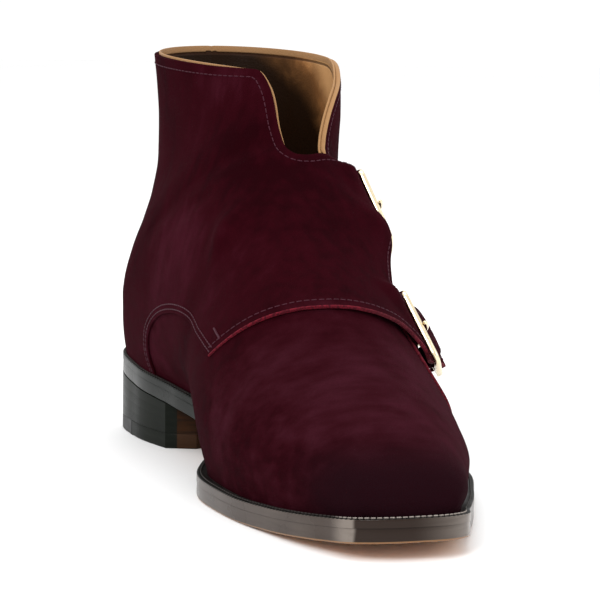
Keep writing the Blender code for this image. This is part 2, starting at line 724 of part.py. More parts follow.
def make_buckle(name, anchor, metal):
    front, pin, back, up, out = strap_frame(anchor)
    middle = (front + pin) / 2
    depth = np.linalg.norm(pin - front) + BUCKLE_BAR
    outer = rounded_frame(depth, BUCKLE_HEIGHT, BUCKLE_CORNER)
    inner = rounded_frame(depth - 2 * BUCKLE_BAR, BUCKLE_HEIGHT - 2 * BUCKLE_BAR, BUCKLE_CORNER / 3)
    layers = []
    for loop, side in ((outer, -1), (outer, 1), (inner, 1), (inner, -1)):
        flat = middle + loop[:, :1] * back + loop[:, 1:] * up + out * side * BUCKLE_THICKNESS / 2
        layers.append(place(flat[:, 0], flat[:, 1], flat[:, 2]))
    band(f"{name}_buckle_frame", layers, metal)


def make_prong(name, anchor, metal):
    """The prong leaves the pin bar, comes up through the strap's slot and rests on the front bar."""
    over_bar = BUCKLE_THICKNESS / 2 + GAP + PRONG_RADIUS
    root = PIN_BAR_BACK - BUCKLE_BAR / 2 - GAP - PRONG_RADIUS
    route = in_frame(
        anchor,
        np.array([root, BUCKLE_BAR, 0.0, -BUCKLE_BAR / 2 + 0.3]),
        0.0,
        np.array([0.0, over_bar + 0.4, over_bar + 0.1, over_bar - 0.1]),
    )
    wire = bpy.data.curves.new(f"{name}_buckle_prong", "CURVE")
    wire.dimensions = "3D"
    wire.bevel_depth = PRONG_RADIUS * MM
    wire.bevel_resolution = 2
    wire.use_fill_caps = True
    spline = wire.splines.new("POLY")
    spline.points.add(len(route) - 1)
    for point, at in zip(spline.points, route):
        point.co = (*at, 1)
    wire.materials.append(metal)
    BOOT.objects.link(bpy.data.objects.new(wire.name, wire))


def make_tab(name, anchor, material):
    """The strip of leather that holds the buckle's pin bar on the outer quarter."""
    back = np.linspace(PIN_BAR_BACK - 3.5, PIN_BAR_BACK - 3.5 + TAB_LENGTH, 9)
    aside = np.linspace(-TAB_WIDTH / 2, TAB_WIDTH / 2, 6)
    points = [
        off_upper(*on_strap(anchor, along, across), TAB_CLEARANCE)
        for along in back
        for across in aside
    ]
    points = np.array(points)
    world = place(points[:, 0], points[:, 1], points[:, 2])
    tab = piece(f"{name}_buckle_tab", world, grid_faces(len(back), len(aside)), material)
    leather = tab.modifiers.new("leather", "SOLIDIFY")
    leather.thickness = TAB_THICKNESS * MM
    leather.offset = 1
    leather.use_even_offset = True
    return tab


def stand_at_origin():
    """Hangs every piece on one empty and moves it so that the origin is below the middle of the boot."""
    bpy.context.view_layer.update()
    graph = bpy.context.evaluated_depsgraph_get()
    meshes = [obj.evaluated_get(graph).to_mesh() for obj in BOOT.objects]
    points = np.array([vertex.co[:] for mesh in meshes for vertex in mesh.vertices])
    low, high = points.min(axis=0), points.max(axis=0)
    holder = bpy.data.objects.new("boot", None)
    for obj in [*BOOT.objects, *CUTTERS.objects]:
        obj.parent = holder
    BOOT.objects.link(holder)
    holder.location = (-(low[0] + high[0]) / 2, -(low[1] + high[1]) / 2, 0.0)


def main():
    sole_leather = finish("sole leather", (0.55, 0.28, 0.12), 0.45)
    edge_leather = finish("edge-dressed leather", (0.10, 0.06, 0.05), 0.30)
    heel_leather = finish("blackened heel leather", (0.03, 0.03, 0.03), 0.25)
    rubber = finish("heel rubber", (0.06, 0.06, 0.06), 0.70)
    suede = finish("wine suede", (0.16, 0.01, 0.03), 0.90)
    metal = finish("pale gold buckle", (0.80, 0.70, 0.50), 0.20, metallic=1.0)
    make_outsole(sole_leather)
    make_welt(edge_leather)
    make_heel(heel_leather, sole_leather, rubber)
    make_insole(sole_leather)
    make_upper(suede)
    make_flap(suede)
    for name, *anchor in STRAPS:
        make_tab(name, anchor, suede)
        make_buckle(name, anchor, metal)
        make_prong(name, anchor, metal)
    stand_at_origin()


main()
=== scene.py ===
"""The looks of a double monk ankle boot in wine suede, left shoe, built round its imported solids.

Lengths are millimetres on the last: x runs outwards to the lateral side from the heel's centre line,
s runs forward from the rear of the heel, and z runs up from the floor. place() turns them into metres in
the world. Leather panels are drawn on the upper as u, counted back from the toe, and v, counted from the
ridge with the lateral side positive.
"""

import json
import math

import bmesh
import bpy
import numpy as np
from mathutils import Matrix, Vector
from mathutils.geometry import delaunay_2d_cdt
from mathutils.kdtree import KDTree

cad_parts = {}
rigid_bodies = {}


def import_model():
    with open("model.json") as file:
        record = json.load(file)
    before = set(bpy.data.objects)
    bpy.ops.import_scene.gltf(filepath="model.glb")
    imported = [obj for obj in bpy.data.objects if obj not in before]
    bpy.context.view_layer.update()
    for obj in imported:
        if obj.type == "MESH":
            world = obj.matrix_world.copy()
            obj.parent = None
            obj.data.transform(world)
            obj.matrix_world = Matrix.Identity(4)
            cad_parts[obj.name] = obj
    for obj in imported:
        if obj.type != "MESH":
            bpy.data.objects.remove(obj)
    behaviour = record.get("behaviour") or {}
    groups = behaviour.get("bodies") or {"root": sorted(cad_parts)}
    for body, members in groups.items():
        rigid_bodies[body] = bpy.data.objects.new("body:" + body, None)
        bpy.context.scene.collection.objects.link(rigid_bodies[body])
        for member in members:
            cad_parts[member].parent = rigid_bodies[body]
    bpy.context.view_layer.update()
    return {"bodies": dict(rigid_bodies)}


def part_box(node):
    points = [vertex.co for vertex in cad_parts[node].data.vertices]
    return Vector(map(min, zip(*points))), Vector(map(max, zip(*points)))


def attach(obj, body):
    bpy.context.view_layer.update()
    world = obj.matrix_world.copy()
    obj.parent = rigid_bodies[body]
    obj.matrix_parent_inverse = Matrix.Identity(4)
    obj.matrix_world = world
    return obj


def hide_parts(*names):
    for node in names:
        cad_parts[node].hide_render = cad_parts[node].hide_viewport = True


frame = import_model()
BODY = next(iter(frame["bodies"]))

MM = 0.001
GAP = 0.3

# Driving sizes of the bottom.
SOLE_LENGTH = 308.0
OUTSOLE_THICKNESS = 5.2
WELT_THICKNESS = 2.8
HEEL_SEAT_TOP = 34.4
HEEL_SEAT_DROP = 0.103
HEEL_LENGTH = 83.0
NOTCH_LENGTH = 5.5
NOTCH_WIDTH = 11.5
BREAST_HOLLOW = 7.5
TOP_PIECE_THICKNESS = 6.0
RUBBER_LENGTH = 41.0
INSOLE_THICKNESS = 3.6
INSOLE_MARGIN = 1.6

# Driving sizes of the upper.
WALL = 2.2
FOOT_GAP = 0.6

# Each strap runs down and back over the outer side, from the middle of its buckle's front bar.
STRAP_SLOPE = math.radians(24.5)
STRAP_END = 27.0
STRAPS = {
    # name: s, z of the middle
    "lower": (172.0, 56.0),
    "upper": (128.3, 98.5),
}
BUCKLE_HEIGHT = 32.0
BUCKLE_DEPTH = 19.0
BUCKLE_BAR = 3.0
BUCKLE_THICKNESS = 2.0
BUCKLE_CORNER = 4.0
PIN_BAR_BACK = BUCKLE_DEPTH - BUCKLE_BAR
FRONT_BAR_HEIGHT = 5.2
PIN_BAR_HEIGHT = 4.3
TAB_LENGTH = 36.0
TAB_WIDTH = 21.0


# The outline of the outsole, seen from above, from the rear of the heel round the lateral side.
SOLE_OUTLINE = (
    # name, x, s
    ("heel rear", -5.5, 0.0),
    ("heel rear, lateral", 17.5, 5.8),
    ("heel corner, lateral", 31.0, 21.5),
    ("heel side, lateral", 36.2, 50.0),
    ("waist, lateral", 36.9, 100.0),
    ("behind the ball, lateral", 44.0, 144.0),
    ("ball, lateral", 50.5, 175.0),
    ("ball front, lateral", 47.5, 201.0),
    ("forepart, lateral", 34.2, 238.0),
    ("toe side, lateral", 13.2, 285.0),
    ("toe corner, lateral", 4.6, 302.4),
    ("toe corner front, lateral", -3.0, 307.2),
    ("toe front", -11.5, SOLE_LENGTH),
    ("toe corner front, medial", -27.5, 305.4),
    ("toe corner, medial", -33.9, 300.8),
    ("toe side, medial", -39.6, 287.0),
    ("forepart, medial", -48.2, 250.0),
    ("ball, medial", -52.2, 215.0),
    ("behind the ball, medial", -49.4, 177.0),
    ("waist front, medial", -36.5, 151.0),
    ("waist, medial", -26.0, 118.0),
    ("heel breast, medial", -31.5, 84.0),
    ("heel side, medial", -36.6, 48.0),
    ("heel corner, medial", -30.0, 11.5),
)

# Height of the outsole's underside in front of the straight heel seat: arch, flat tread and toe spring.
TOE_SPRING = 6.2
SOLE_CURVE = (
    # s, z
    (112.0, 12.9), (136.0, 7.0), (160.0, 2.4), (186.0, 0.0), (224.0, 0.0), (252.0, 1.0), (280.0, 3.2),
    (SOLE_LENGTH + 2, TOE_SPRING + 0.2),
)
HEEL_SEAT_STATIONS = (-10.0, 40.0, 90.0)
# How far the upper's foot stands in from the sole's edge.
FEATHER_MARGIN = (
    # s, margin
    (0, 2.0), (60, 1.8), (100, 2.2), (140, 3.0), (180, 3.5), (240, 2.9), (308, 3.6),
)


def monotone(knots, values, at):
    """Cubic interpolation of a table that never overshoots it."""
    knots = np.asarray(knots, float)
    values = np.asarray(values, float)
    step = np.diff(knots)
    slope = np.diff(values) / step
    tangent = np.empty(len(knots))
    tangent[0], tangent[-1] = slope[0], slope[-1]
    before, after = slope[:-1], slope[1:]
    same_way = before * after > 0
    weight = np.where(same_way, before * after, 0.0)
    total = np.where(same_way, before + after, 1.0)
    tangent[1:-1] = 2 * weight / total
    at = np.clip(np.asarray(at, float), knots[0], knots[-1])
    span = np.clip(np.searchsorted(knots, at, side="right") - 1, 0, len(step) - 1)
    u = (at - knots[span]) / step[span]
    rise = u * u * (3 - 2 * u)
    return (
        values[span] * (1 - rise)
        + values[span + 1] * rise
        + step[span] * u * (1 - u) * ((1 - u) * tangent[span] - u * tangent[span + 1])
    )


def unit(vectors):
    """The directions of vectors, as vectors of length 1."""
    return vectors / np.maximum(np.linalg.norm(vectors, axis=-1, keepdims=True), 1e-9)


def spans(start, end, leave, arrive, per_span):
    """Cubic curves from start points to end points, with the steps they leave and arrive with."""
    u = (np.arange(per_span) / per_span)[None, :, None]
    rise = u * u * (3 - 2 * u)
    start, end, leave, arrive = (rows[:, None] for rows in (start, end, leave, arrive))
    curve = start * (1 - rise) + end * rise + u * (1 - u) * ((1 - u) * leave - u * arrive)
    return curve.reshape(-1, start.shape[-1])


def smooth_loop(points, per_span):
    """A closed curve through the points, with per_span steps between each two."""
    points = np.asarray(points, float)
    ahead = np.roll(points, -1, axis=0)
    behind = np.roll(points, 1, axis=0)
    chord = np.linalg.norm(ahead - points, axis=1)[:, None]
    last_chord = np.roll(chord, 1, axis=0)
    tangent = (
        (ahead - points) / chord * last_chord + (points - behind) / last_chord * chord
    ) / (chord + last_chord)
    return spans(points, ahead, tangent * chord, np.roll(tangent, -1, axis=0) * chord, per_span)


def smooth_path(knots, per_span=16):
    """An open curve through knots."""
    knots = np.asarray(knots, float)
    if len(knots) == 2:
        return knots
    chord = np.maximum(np.linalg.norm(np.diff(knots, axis=0), axis=1), 1e-6)[:, None]
    slope = np.diff(knots, axis=0) / chord
    tangent = np.empty_like(knots)
    tangent[1:-1] = (slope[:-1] * chord[1:] + slope[1:] * chord[:-1]) / (chord[:-1] + chord[1:])
    tangent[0] = 1.5 * slope[0] - 0.5 * tangent[1]
    tangent[-1] = 1.5 * slope[-1] - 0.5 * tangent[-2]
    curve = spans(knots[:-1], knots[1:], tangent[:-1] * chord, tangent[1:] * chord, per_span)
    return np.vstack([curve, knots[-1:]])


def gone_along(points):
    """How far along a path each of its points lies."""
    return np.concatenate([[0.0], np.cumsum(np.linalg.norm(np.diff(points, axis=0), axis=1))])


def stepped(path, gone, count):
    """A number of even steps along a path, given how far along each of its own places lies."""
    at = np.linspace(0, gone[-1], count)
    return np.stack([np.interp(at, gone, column) for column in path.T], axis=1)


def resampled(loop, pitch):
    """A closed loop with even steps."""
    closed = np.vstack([loop, loop[:1]])
    gone = gone_along(closed)
    return stepped(closed, gone, round(gone[-1] / pitch) + 1)[:-1]


def drawn_in(loop, inset):
    """A closed loop drawn in by a distance, which may differ from point to point."""
    tangent = unit(np.roll(loop, -1, axis=0) - np.roll(loop, 1, axis=0))
    return loop + np.stack([-tangent[:, 1], tangent[:, 0]], axis=1) * np.reshape(inset, (-1, 1))


OUTLINE = smooth_loop([row[1:] for row in SOLE_OUTLINE], 24)
MOST_LATERAL = OUTLINE[:, 0].max()
MOST_MEDIAL = OUTLINE[:, 0].min()


def edge_x(loop, s, side):
    """Where a loop crosses station s, on the lateral side (+1) or the medial side (-1)."""
    rear, front = np.argmin(loop[:, 1]), np.argmax(loop[:, 1])
    way = (rear + side * np.arange((side * (front - rear)) % len(loop) + 1)) % len(loop)
    return np.interp(s, np.maximum.accumulate(loop[way, 1]), loop[way, 0])


def sole_bottom(s):
    """Height of the outsole's underside: straight over the heel, then the arch, tread and toe spring."""
    seat = HEEL_SEAT_TOP - OUTSOLE_THICKNESS - GAP - WELT_THICKNESS
    rows = [(at, seat - HEEL_SEAT_DROP * at) for at in HEEL_SEAT_STATIONS]
    return monotone(*zip(*rows, *SOLE_CURVE), s)


def welt_bottom(s):
    return sole_bottom(s) + OUTSOLE_THICKNESS + GAP


def welt_top(s):
    return welt_bottom(s) + WELT_THICKNESS


def insole_top(s):
    return welt_bottom(s) + INSOLE_THICKNESS


def feather_margin(s):
    return monotone(*zip(*FEATHER_MARGIN), s)


# The upper: sections in planes that turn from upright at the toe to level at the collar. Each runs from
# its foot, on the sole or on the back seam, to its ridge on the front of the boot. On either side it is
# widest at its belly, a share of the way up. From there a fullness of 2 is round and 1 is straight.
SECTIONS = (
    # name, foot s, foot z (0: on the welt), ridge s, ridge z, centre x, crown,
    # lateral: widest x, belly, fullness, medial: widest x, belly, fullness
    ("toe foot", 304.4, 0, 304.4, 15.0, -12.0, 2.5, -9.0, 0.40, 2.4, -15.0, 0.40, 2.4),
    ("toe face", 303.9, 0, 303.9, 18.4, -13.0, 2.5, -3.4, 0.40, 2.4, -22.0, 0.40, 2.4),
    ("toe edge", 302.2, 0, 302.2, 22.8, -14.0, 2.5, 1.6, 0.40, 2.4, -28.4, 0.40, 2.4),
    ("toe top", 298.4, 0, 298.4, 27.0, -14.5, 2.4, 5.6, 0.38, 2.3, -32.6, 0.38, 2.4),
    ("toe box", 291.5, 0, 291.5, 31.2, -14.2, 2.3, 9.9, 0.34, 2.1, -35.6, 0.36, 2.3),
    ("toe box rear", 280.0, 0, 280.0, 36.0, -13.6, 2.2, 14.7, 0.30, 1.9, -39.6, 0.34, 2.2),
    ("vamp front", 265.0, 0, 265.0, 41.8, -12.6, 2.1, 21.0, 0.26, 1.7, -44.0, 0.32, 2.1),
    ("vamp", 248.0, 0, 248.0, 48.0, -11.3, 2.0, 28.4, 0.23, 1.55, -47.6, 0.31, 2.0),
    ("vamp rear", 230.0, 0, 230.0, 55.0, -9.9, 1.9, 36.0, 0.20, 1.35, -50.4, 0.30, 1.9),
    ("ball", 212.0, 0, 212.0, 63.2, -8.6, 1.85, 42.4, 0.17, 1.28, -51.8, 0.29, 1.85),
    ("ball rear", 194.0, 0, 195.5, 72.4, -7.2, 1.8, 46.4, 0.18, 1.25, -51.6, 0.29, 1.8),
    ("instep front", 174.0, 0, 179.0, 81.6, -5.6, 1.8, 47.4, 0.21, 1.26, -49.6, 0.30, 1.8),
    ("instep", 150.0, 0, 163.5, 91.4, -3.8, 1.9, 46.0, 0.26, 1.37, -45.6, 0.33, 1.8),
    ("waist", 120.0, 0, 150.5, 101.0, -1.8, 2.1, 44.8, 0.33, 1.72, -41.4, 0.36, 1.85),
    ("waist rear", 88.0, 0, 141.0, 109.0, 0.0, 2.2, 43.6, 0.38, 2.08, -40.4, 0.38, 1.85),
    ("heel front", 58.0, 0, 134.5, 115.2, 1.4, 2.25, 42.2, 0.41, 2.25, -40.6, 0.38, 1.8),
    ("heel", 30.0, 0, 129.8, 120.4, 2.4, 2.2, 40.4, 0.42, 2.2, -40.8, 0.37, 1.8),
    ("heel corner", 11.0, 0, 127.0, 124.0, 2.8, 2.15, 39.6, 0.42, 2.1, -40.4, 0.37, 1.8),
    ("seat rear", 1.9, 0, 125.2, 126.6, 3.2, 2.1, 39.2, 0.42, 2.05, -39.6, 0.37, 1.85),
    ("counter", 0.9, 50.0, 123.2, 130.2, 3.6, 2.1, 39.2, 0.42, 2.0, -36.6, 0.39, 1.9),
    ("counter top", 1.2, 66.0, 121.2, 134.4, 4.2, 2.1, 39.6, 0.43, 2.0, -32.0, 0.41, 2.0),
    ("shaft foot", 4.0, 84.0, 119.2, 139.0, 4.8, 2.1, 40.2, 0.43, 2.0, -28.2, 0.42, 2.0),
    ("shaft", 7.4, 104.0, 117.0, 143.6, 5.4, 2.1, 40.8, 0.44, 2.0, -26.4, 0.44, 2.0),
    ("shaft top", 9.0, 124.0, 114.8, 147.0, 5.8, 2.1, 41.2, 0.44, 2.0, -26.4, 0.44, 2.0),
    ("collar foot", 8.4, 142.0, 112.6, 149.4, 6.2, 2.1, 41.6, 0.44, 2.0, -27.0, 0.44, 2.0),
    ("collar", 6.5, 158.0, 110.5, 152.0, 6.6, 2.1, 42.0, 0.44, 2.0, -27.8, 0.44, 2.0),
)
FOOT_S, FOOT_Z, RIDGE_S, RIDGE_Z, CENTRE, CROWN, LATERAL = range(1, 8)
MEDIAL = LATERAL + 3
SECTION_NAMES = [row[0] for row in SECTIONS]
VAMP_FRONT, SEAT_REAR = SECTION_NAMES.index("vamp front"), SECTION_NAMES.index("seat rear")
# Share of the girth from the foot up to the belly.
BELLY_STEP = 0.36


def section_value(column, t):
    return monotone(range(len(SECTIONS)), [row[column] for row in SECTIONS], t)


FOOT_LOOP = drawn_in(OUTLINE, feather_margin(OUTLINE[:, 1]))
FOOT_REAR = FOOT_LOOP[:, 1].min()
FOOT_FRONT = FOOT_LOOP[:, 1].max()


def upper_point(t, girth):
    """A point of the upper's outer face: t counts along SECTIONS, girth runs from -1 at the medial foot
    over 0 on the ridge to 1 at the lateral foot. Returns x, s, z in an array."""
    t, girth = np.broadcast_arrays(np.asarray(t, float), np.asarray(girth, float))
    on_welt = t <= SEAT_REAR
    foot_s = section_value(FOOT_S, t)
    foot_s = np.where(on_welt, np.clip(foot_s, FOOT_REAR, FOOT_FRONT), foot_s)
    seam_z = monotone(
        range(SEAT_REAR, len(SECTIONS)),
        [welt_top(FOOT_REAR) + FOOT_GAP] + [row[FOOT_Z] for row in SECTIONS[SEAT_REAR + 1 :]],
        t,
    )
    foot_z = np.where(on_welt, welt_top(foot_s) + FOOT_GAP, seam_z)
    ridge_s, ridge_z, centre, crown = (section_value(at, t) for at in (RIDGE_S, RIDGE_Z, CENTRE, CROWN))
    lateral = girth > 0
    widest, belly, fullness = (
        np.where(lateral, section_value(LATERAL + column, t), section_value(MEDIAL + column, t))
        for column in range(3)
    )
    widest = widest - centre
    foot_x = np.where(lateral, edge_x(FOOT_LOOP, foot_s, 1), edge_x(FOOT_LOOP, foot_s, -1))
    rear_x = edge_x(FOOT_LOOP, FOOT_REAR, 1)
    seam_x = rear_x + (centre - rear_x) * np.clip((t - SEAT_REAR) / 3, 0, 1)
    foot_x = np.where(on_welt, foot_x, seam_x) - centre
    up = 1 - np.abs(girth)
    low = np.clip(up / BELLY_STEP, 0, 1) * math.pi / 2
    high = np.clip((up - BELLY_STEP) / (1 - BELLY_STEP), 0, 1) * math.pi / 2
    below = up < BELLY_STEP
    foot_share = np.clip(foot_x / widest, 0, 0.995)
    swell = np.sqrt(1 - (1 - foot_share**2) * np.cos(low) ** 2)
    low_x = foot_x + (widest - foot_x) * (swell - foot_share) / (1 - foot_share)
    high_x = widest * np.cos(high) ** (2 / crown)
    x = centre + np.where(below, low_x, high_x)
    climb = belly + (1 - belly) * np.sin(high) ** (2 / fullness)
    way = np.where(below, belly * (1 - np.cos(low)), climb)
    s = foot_s + way * (ridge_s - foot_s)
    z = foot_z + way * (ridge_z - foot_z)
    return np.stack([x, s, z], axis=-1)


def upper_normal(t, girth):
    """The outward direction of the upper's outer face."""
    step = 1e-3
    along = upper_point(np.asarray(t) + step, girth) - upper_point(np.asarray(t) - step, girth)
    around = upper_point(t, np.asarray(girth) + step) - upper_point(t, np.asarray(girth) - step)
    return unit(np.cross(along, around))


def off_upper(t, girth, height):
    """A point at a height over the upper's outer face."""
    return upper_point(t, girth) + upper_normal(t, girth) * np.asarray(height)[..., None]


def section_line(t):
    """Side view of a section: its foot and its ridge, each as s and z."""
    t = np.asarray(t, float)
    return upper_point(t, np.full(t.shape, 1.0))[..., 1:], upper_point(t, np.zeros(t.shape))[..., 1:]


def lateral_place(s, z):
    """Where on the upper's lateral side a point of the side view lies, as t and girth."""
    fan = np.linspace(VAMP_FRONT, len(SECTIONS) - 1.0, 1500)
    foot, ridge = section_line(fan)
    reach = ridge - foot
    across = reach[:, 0] * (z - foot[:, 1]) - reach[:, 1] * (s - foot[:, 0])
    crossing = np.nonzero(np.diff(np.sign(across)))[0][0]
    share = across[crossing] / (across[crossing] - across[crossing + 1])
    t = fan[crossing] + share * (fan[crossing + 1] - fan[crossing])
    foot, ridge = section_line(np.array([t]))
    way = np.linalg.norm([s - foot[0, 0], z - foot[0, 1]]) / np.linalg.norm(ridge - foot)
    belly, fullness = section_value(LATERAL + 1, t), section_value(LATERAL + 2, t)
    if way < belly:
        up = BELLY_STEP * math.acos(1 - way / belly) * 2 / math.pi
    else:
        climb = ((way - belly) / (1 - belly)) ** (fullness / 2)
        up = BELLY_STEP + (1 - BELLY_STEP) * math.asin(min(climb, 1.0)) * 2 / math.pi
    return float(t), 1 - up


def on_strap(anchor, back, aside):
    """Side view of a point on a strap: how far back from the front bar, and how far up from its middle."""
    s = anchor[0] - back * math.cos(STRAP_SLOPE) - aside * math.sin(STRAP_SLOPE)
    z = anchor[1] - back * math.sin(STRAP_SLOPE) + aside * math.cos(STRAP_SLOPE)
    return lateral_place(s, z)


def strap_frame(anchor):
    """The buckle's own directions: its front bar, its pin bar, back along the strap, up along its bars,
    and outwards."""
    front = off_upper(*on_strap(anchor, 0, 0), FRONT_BAR_HEIGHT)
    pin = off_upper(*on_strap(anchor, PIN_BAR_BACK, 0), PIN_BAR_HEIGHT)
    back = unit(pin - front)
    out = upper_normal(*on_strap(anchor, PIN_BAR_BACK / 2, 0))
    out = unit(out - back * np.dot(out, back))
    up = np.cross(back, out)
    return front, pin, back, up * np.sign(up[2]), out


STRAP_FRAMES = {name: strap_frame(anchor) for name, anchor in STRAPS.items()}

# The frame's outsole box says where the last stands in the world.
SOLE_LOW, SOLE_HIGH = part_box("outsole")
SOLE_MIDDLE = np.array((SOLE_LOW + SOLE_HIGH) / 2)


def place(points):
    """Last coordinates in millimetres, x, s, z in the last axis, to world coordinates in metres."""
    points = np.asarray(points, float)
    across = points[..., 0] - (MOST_LATERAL + MOST_MEDIAL) / 2
    along = SOLE_LENGTH / 2 - points[..., 1]
    ground = np.array([SOLE_MIDDLE[0], SOLE_MIDDLE[1], 0.0])
    return np.stack([across, along, points[..., 2]], axis=-1) * MM + ground


# ---------------------------------------------------------------- the upper measured in millimetres

FINE_T = np.linspace(0, len(SECTIONS) - 1, 301)
FINE_GIRTH = np.linspace(-1, 1, 801)
SHARES = np.linspace(-1, 1, 401)


def measure_last():
    """Tables over FINE_T: how far round the section each girth lies, both half lengths, the girth at each
    share of a half length, and the mean distance back from the toe."""
    points = upper_point(FINE_T[:, None], FINE_GIRTH[None, :])
    steps = np.linalg.norm(np.diff(points, axis=1), axis=2)
    round_section = np.concatenate([np.zeros((len(FINE_T), 1)), np.cumsum(steps, axis=1)], axis=1)
    round_section -= round_section[:, [len(FINE_GIRTH) // 2]]
    medial, lateral = -round_section[:, 0], round_section[:, -1]
    girth_at = np.empty((len(FINE_T), len(SHARES)))
    for row, way in enumerate(round_section):
        wanted = np.where(SHARES < 0, SHARES * medial[row], SHARES * lateral[row])
        girth_at[row] = np.interp(wanted, way, FINE_GIRTH)
    above_foot = np.abs(FINE_GIRTH) < 0.801
    strides = np.linalg.norm(np.diff(points[:, above_foot], axis=0), axis=2).mean(axis=1)
    return round_section, medial, lateral, girth_at, np.concatenate([[0.0], np.cumsum(strides)])


ROUND_SECTION, MEDIAL_HALF, LATERAL_HALF, GIRTH_AT, BACK_FROM_TOE = measure_last()


def back_at(t):
    """How far back from the toe a section lies."""
    return np.interp(t, FINE_T, BACK_FROM_TOE)


def section_at(u):
    return np.interp(u, BACK_FROM_TOE, FINE_T)


def read_between(table, t, share):
    """A table over FINE_T read at sections and shares of its width, between its rows and columns."""
    rows, columns = table.shape
    row = np.clip(t / FINE_T[-1] * (rows - 1), 0, rows - 1.000001)
    column = np.clip(share * (columns - 1), 0, columns - 1.000001)
    low, left = row.astype(int), column.astype(int)
    down, over = row - low, column - left
    first = table[low, left] * (1 - over) + table[low, left + 1] * over
    second = table[low + 1, left] * (1 - over) + table[low + 1, left + 1] * over
    return first * (1 - down) + second * down


def spot(t, girth):
    """A place given by its section and girth, as u and v in millimetres."""
    t, girth = np.asarray(t, float), np.asarray(girth, float)
    return np.stack([back_at(t), read_between(ROUND_SECTION, t, (girth + 1) / 2)], axis=-1)


def spots(places):
    return spot(*np.transpose(places))


def half_girth(t, side):
    return np.interp(t, FINE_T, LATERAL_HALF if side > 0 else MEDIAL_HALF)


def section_of(places):
    """The section and girth of places on the upper, and how far each lies past the foot or the toe."""
    u, v = places[..., 0], places[..., 1]
    t = section_at(u)
    half = np.where(v > 0, half_girth(t, 1), half_girth(t, -1))
    past = np.maximum(np.abs(v) - half, 0) + np.maximum(-u, 0)
    return t, read_between(GIRTH_AT, t, (np.clip(v / half, -1, 1) + 1) / 2), past


def on_last(places):
    """Points of the upper's outer face. Past the foot it runs on straight down."""
    t, girth, past = section_of(places)
    points = upper_point(t, girth)
    points[..., 2] -= past
    return points


def within_last(places):
    """The nearest places that lie a little inside the upper's foot and toe."""
    margin = 0.6
    u = np.maximum(places[..., 0], margin)
    t = section_at(u)
    v = np.clip(places[..., 1], margin - half_girth(t, -1), half_girth(t, 1) - margin)
    return np.stack([u, v], axis=-1)


class Ground:
    """A surface that pieces are drawn on: places in millimetres give points, and outwards is its turn.
    steady gives the places at which normals are taken."""

    NORMAL_STEP = 0.5
    # Newton's steps from place to place: how many, the longest, and the least spread of the surface.
    ROUNDS, LONGEST, LEAST_SPREAD = 3, 3, 0.02

    def __init__(self, point, turn=1.0, steady=None):
        self.point = point
        self.turn = turn
        self.steady = steady or (lambda places: places)

    def partials(self, places, step=0.2):
        ahead, aside = np.array([step, 0.0]), np.array([0.0, step])
        along = (self.point(places + ahead) - self.point(places - ahead)) / (2 * step)
        across = (self.point(places + aside) - self.point(places - aside)) / (2 * step)
        return along, across

    def normal(self, places):
        return unit(np.cross(*self.partials(self.steady(places), self.NORMAL_STEP)) * self.turn)

    def over(self, places, height):
        return self.point(places) + self.normal(places) * np.reshape(height, (-1, 1))

    def moved(self, places, move):
        """The places that short steps in space lead to."""
        target = self.point(places) + move
        for _ in range(self.ROUNDS):
            miss = target - self.point(places)
            along, across = self.partials(places)
            aa, ac, cc = ((p * q).sum(-1) for p, q in ((along, along), (along, across), (across, across)))
            am, cm = (along * miss).sum(-1), (across * miss).sum(-1)
            spread = np.maximum(aa * cc - ac * ac, self.LEAST_SPREAD)
            step = np.stack([cc * am - ac * cm, aa * cm - ac * am], axis=-1) / spread[:, None]
            places = places + np.clip(step, -self.LONGEST, self.LONGEST)
        return places


def back_of_last(places):
    """The upper's back: u along the seam as on the last, and v across it."""
    u, across = places[..., 0], places[..., 1]
    t = section_at(u)
    v = np.where(across > 0, half_girth(t, 1) - across, -half_girth(t, -1) - across)
    return on_last(np.stack([u, v], axis=-1))


LAST = Ground(on_last, steady=within_last)
BACK_SEAM = Ground(back_of_last)


# ---------------------------------------------------------------- curves and meshes


def evenly(ground, knots, pitch, smooth=True):
    """Places along a curve through knots, evenly spaced in space."""
    fine = smooth_path(knots) if smooth else np.asarray(knots, float)
    gone = gone_along(ground.point(fine))
    return stepped(fine, gone, max(2, math.ceil(gone[-1] / pitch) + 1))


def outline(ground, runs, pitch):
    """A closed outline from runs of knots, which meet in corners, and which run each place is of."""
    parts = [evenly(ground, run, pitch)[:-1] for run in runs]
    return np.vstack(parts), np.repeat(np.arange(len(parts)), [len(part) for part in parts])


def inward(ground, loop):
    """Unit steps in space from a closed outline into what it encloses."""
    points = ground.point(loop)
    tangent = unit(np.roll(points, -1, axis=0) - np.roll(points, 1, axis=0))
    ahead = np.roll(loop, -1, axis=0)
    area = (loop[:, 0] * ahead[:, 1] - ahead[:, 0] * loop[:, 1]).sum()
    return unit(np.cross(ground.normal(loop) * ground.turn, tangent) * np.sign(area))


def beside(ground, path, distance):
    """A path moved sideways in space: to the left of its way as seen from outside if above 0."""
    side = unit(np.cross(ground.normal(path), np.gradient(ground.point(path), axis=0)))
    return ground.moved(path, side * distance)


def inside(loop, places):
    """Which places lie within a closed outline."""
    found = np.zeros(len(places), bool)
    ahead = np.roll(loop, -1, axis=0)
    for (a, b), (c, d) in zip(loop, ahead):
        if b == d:
            continue
        crosses = (b > places[:, 1]) != (d > places[:, 1])
        found ^= crosses & (places[:, 0] < a + (places[:, 1] - b) / (d - b) * (c - a))
    return found


def nearest(points, others):
    """How far each point lies from the nearest of the others."""
    tree = KDTree(len(others))
    for index, point in enumerate(others):
        tree.insert(point, index)
    tree.balance()
    return np.array([tree.find(point)[2] for point in points])


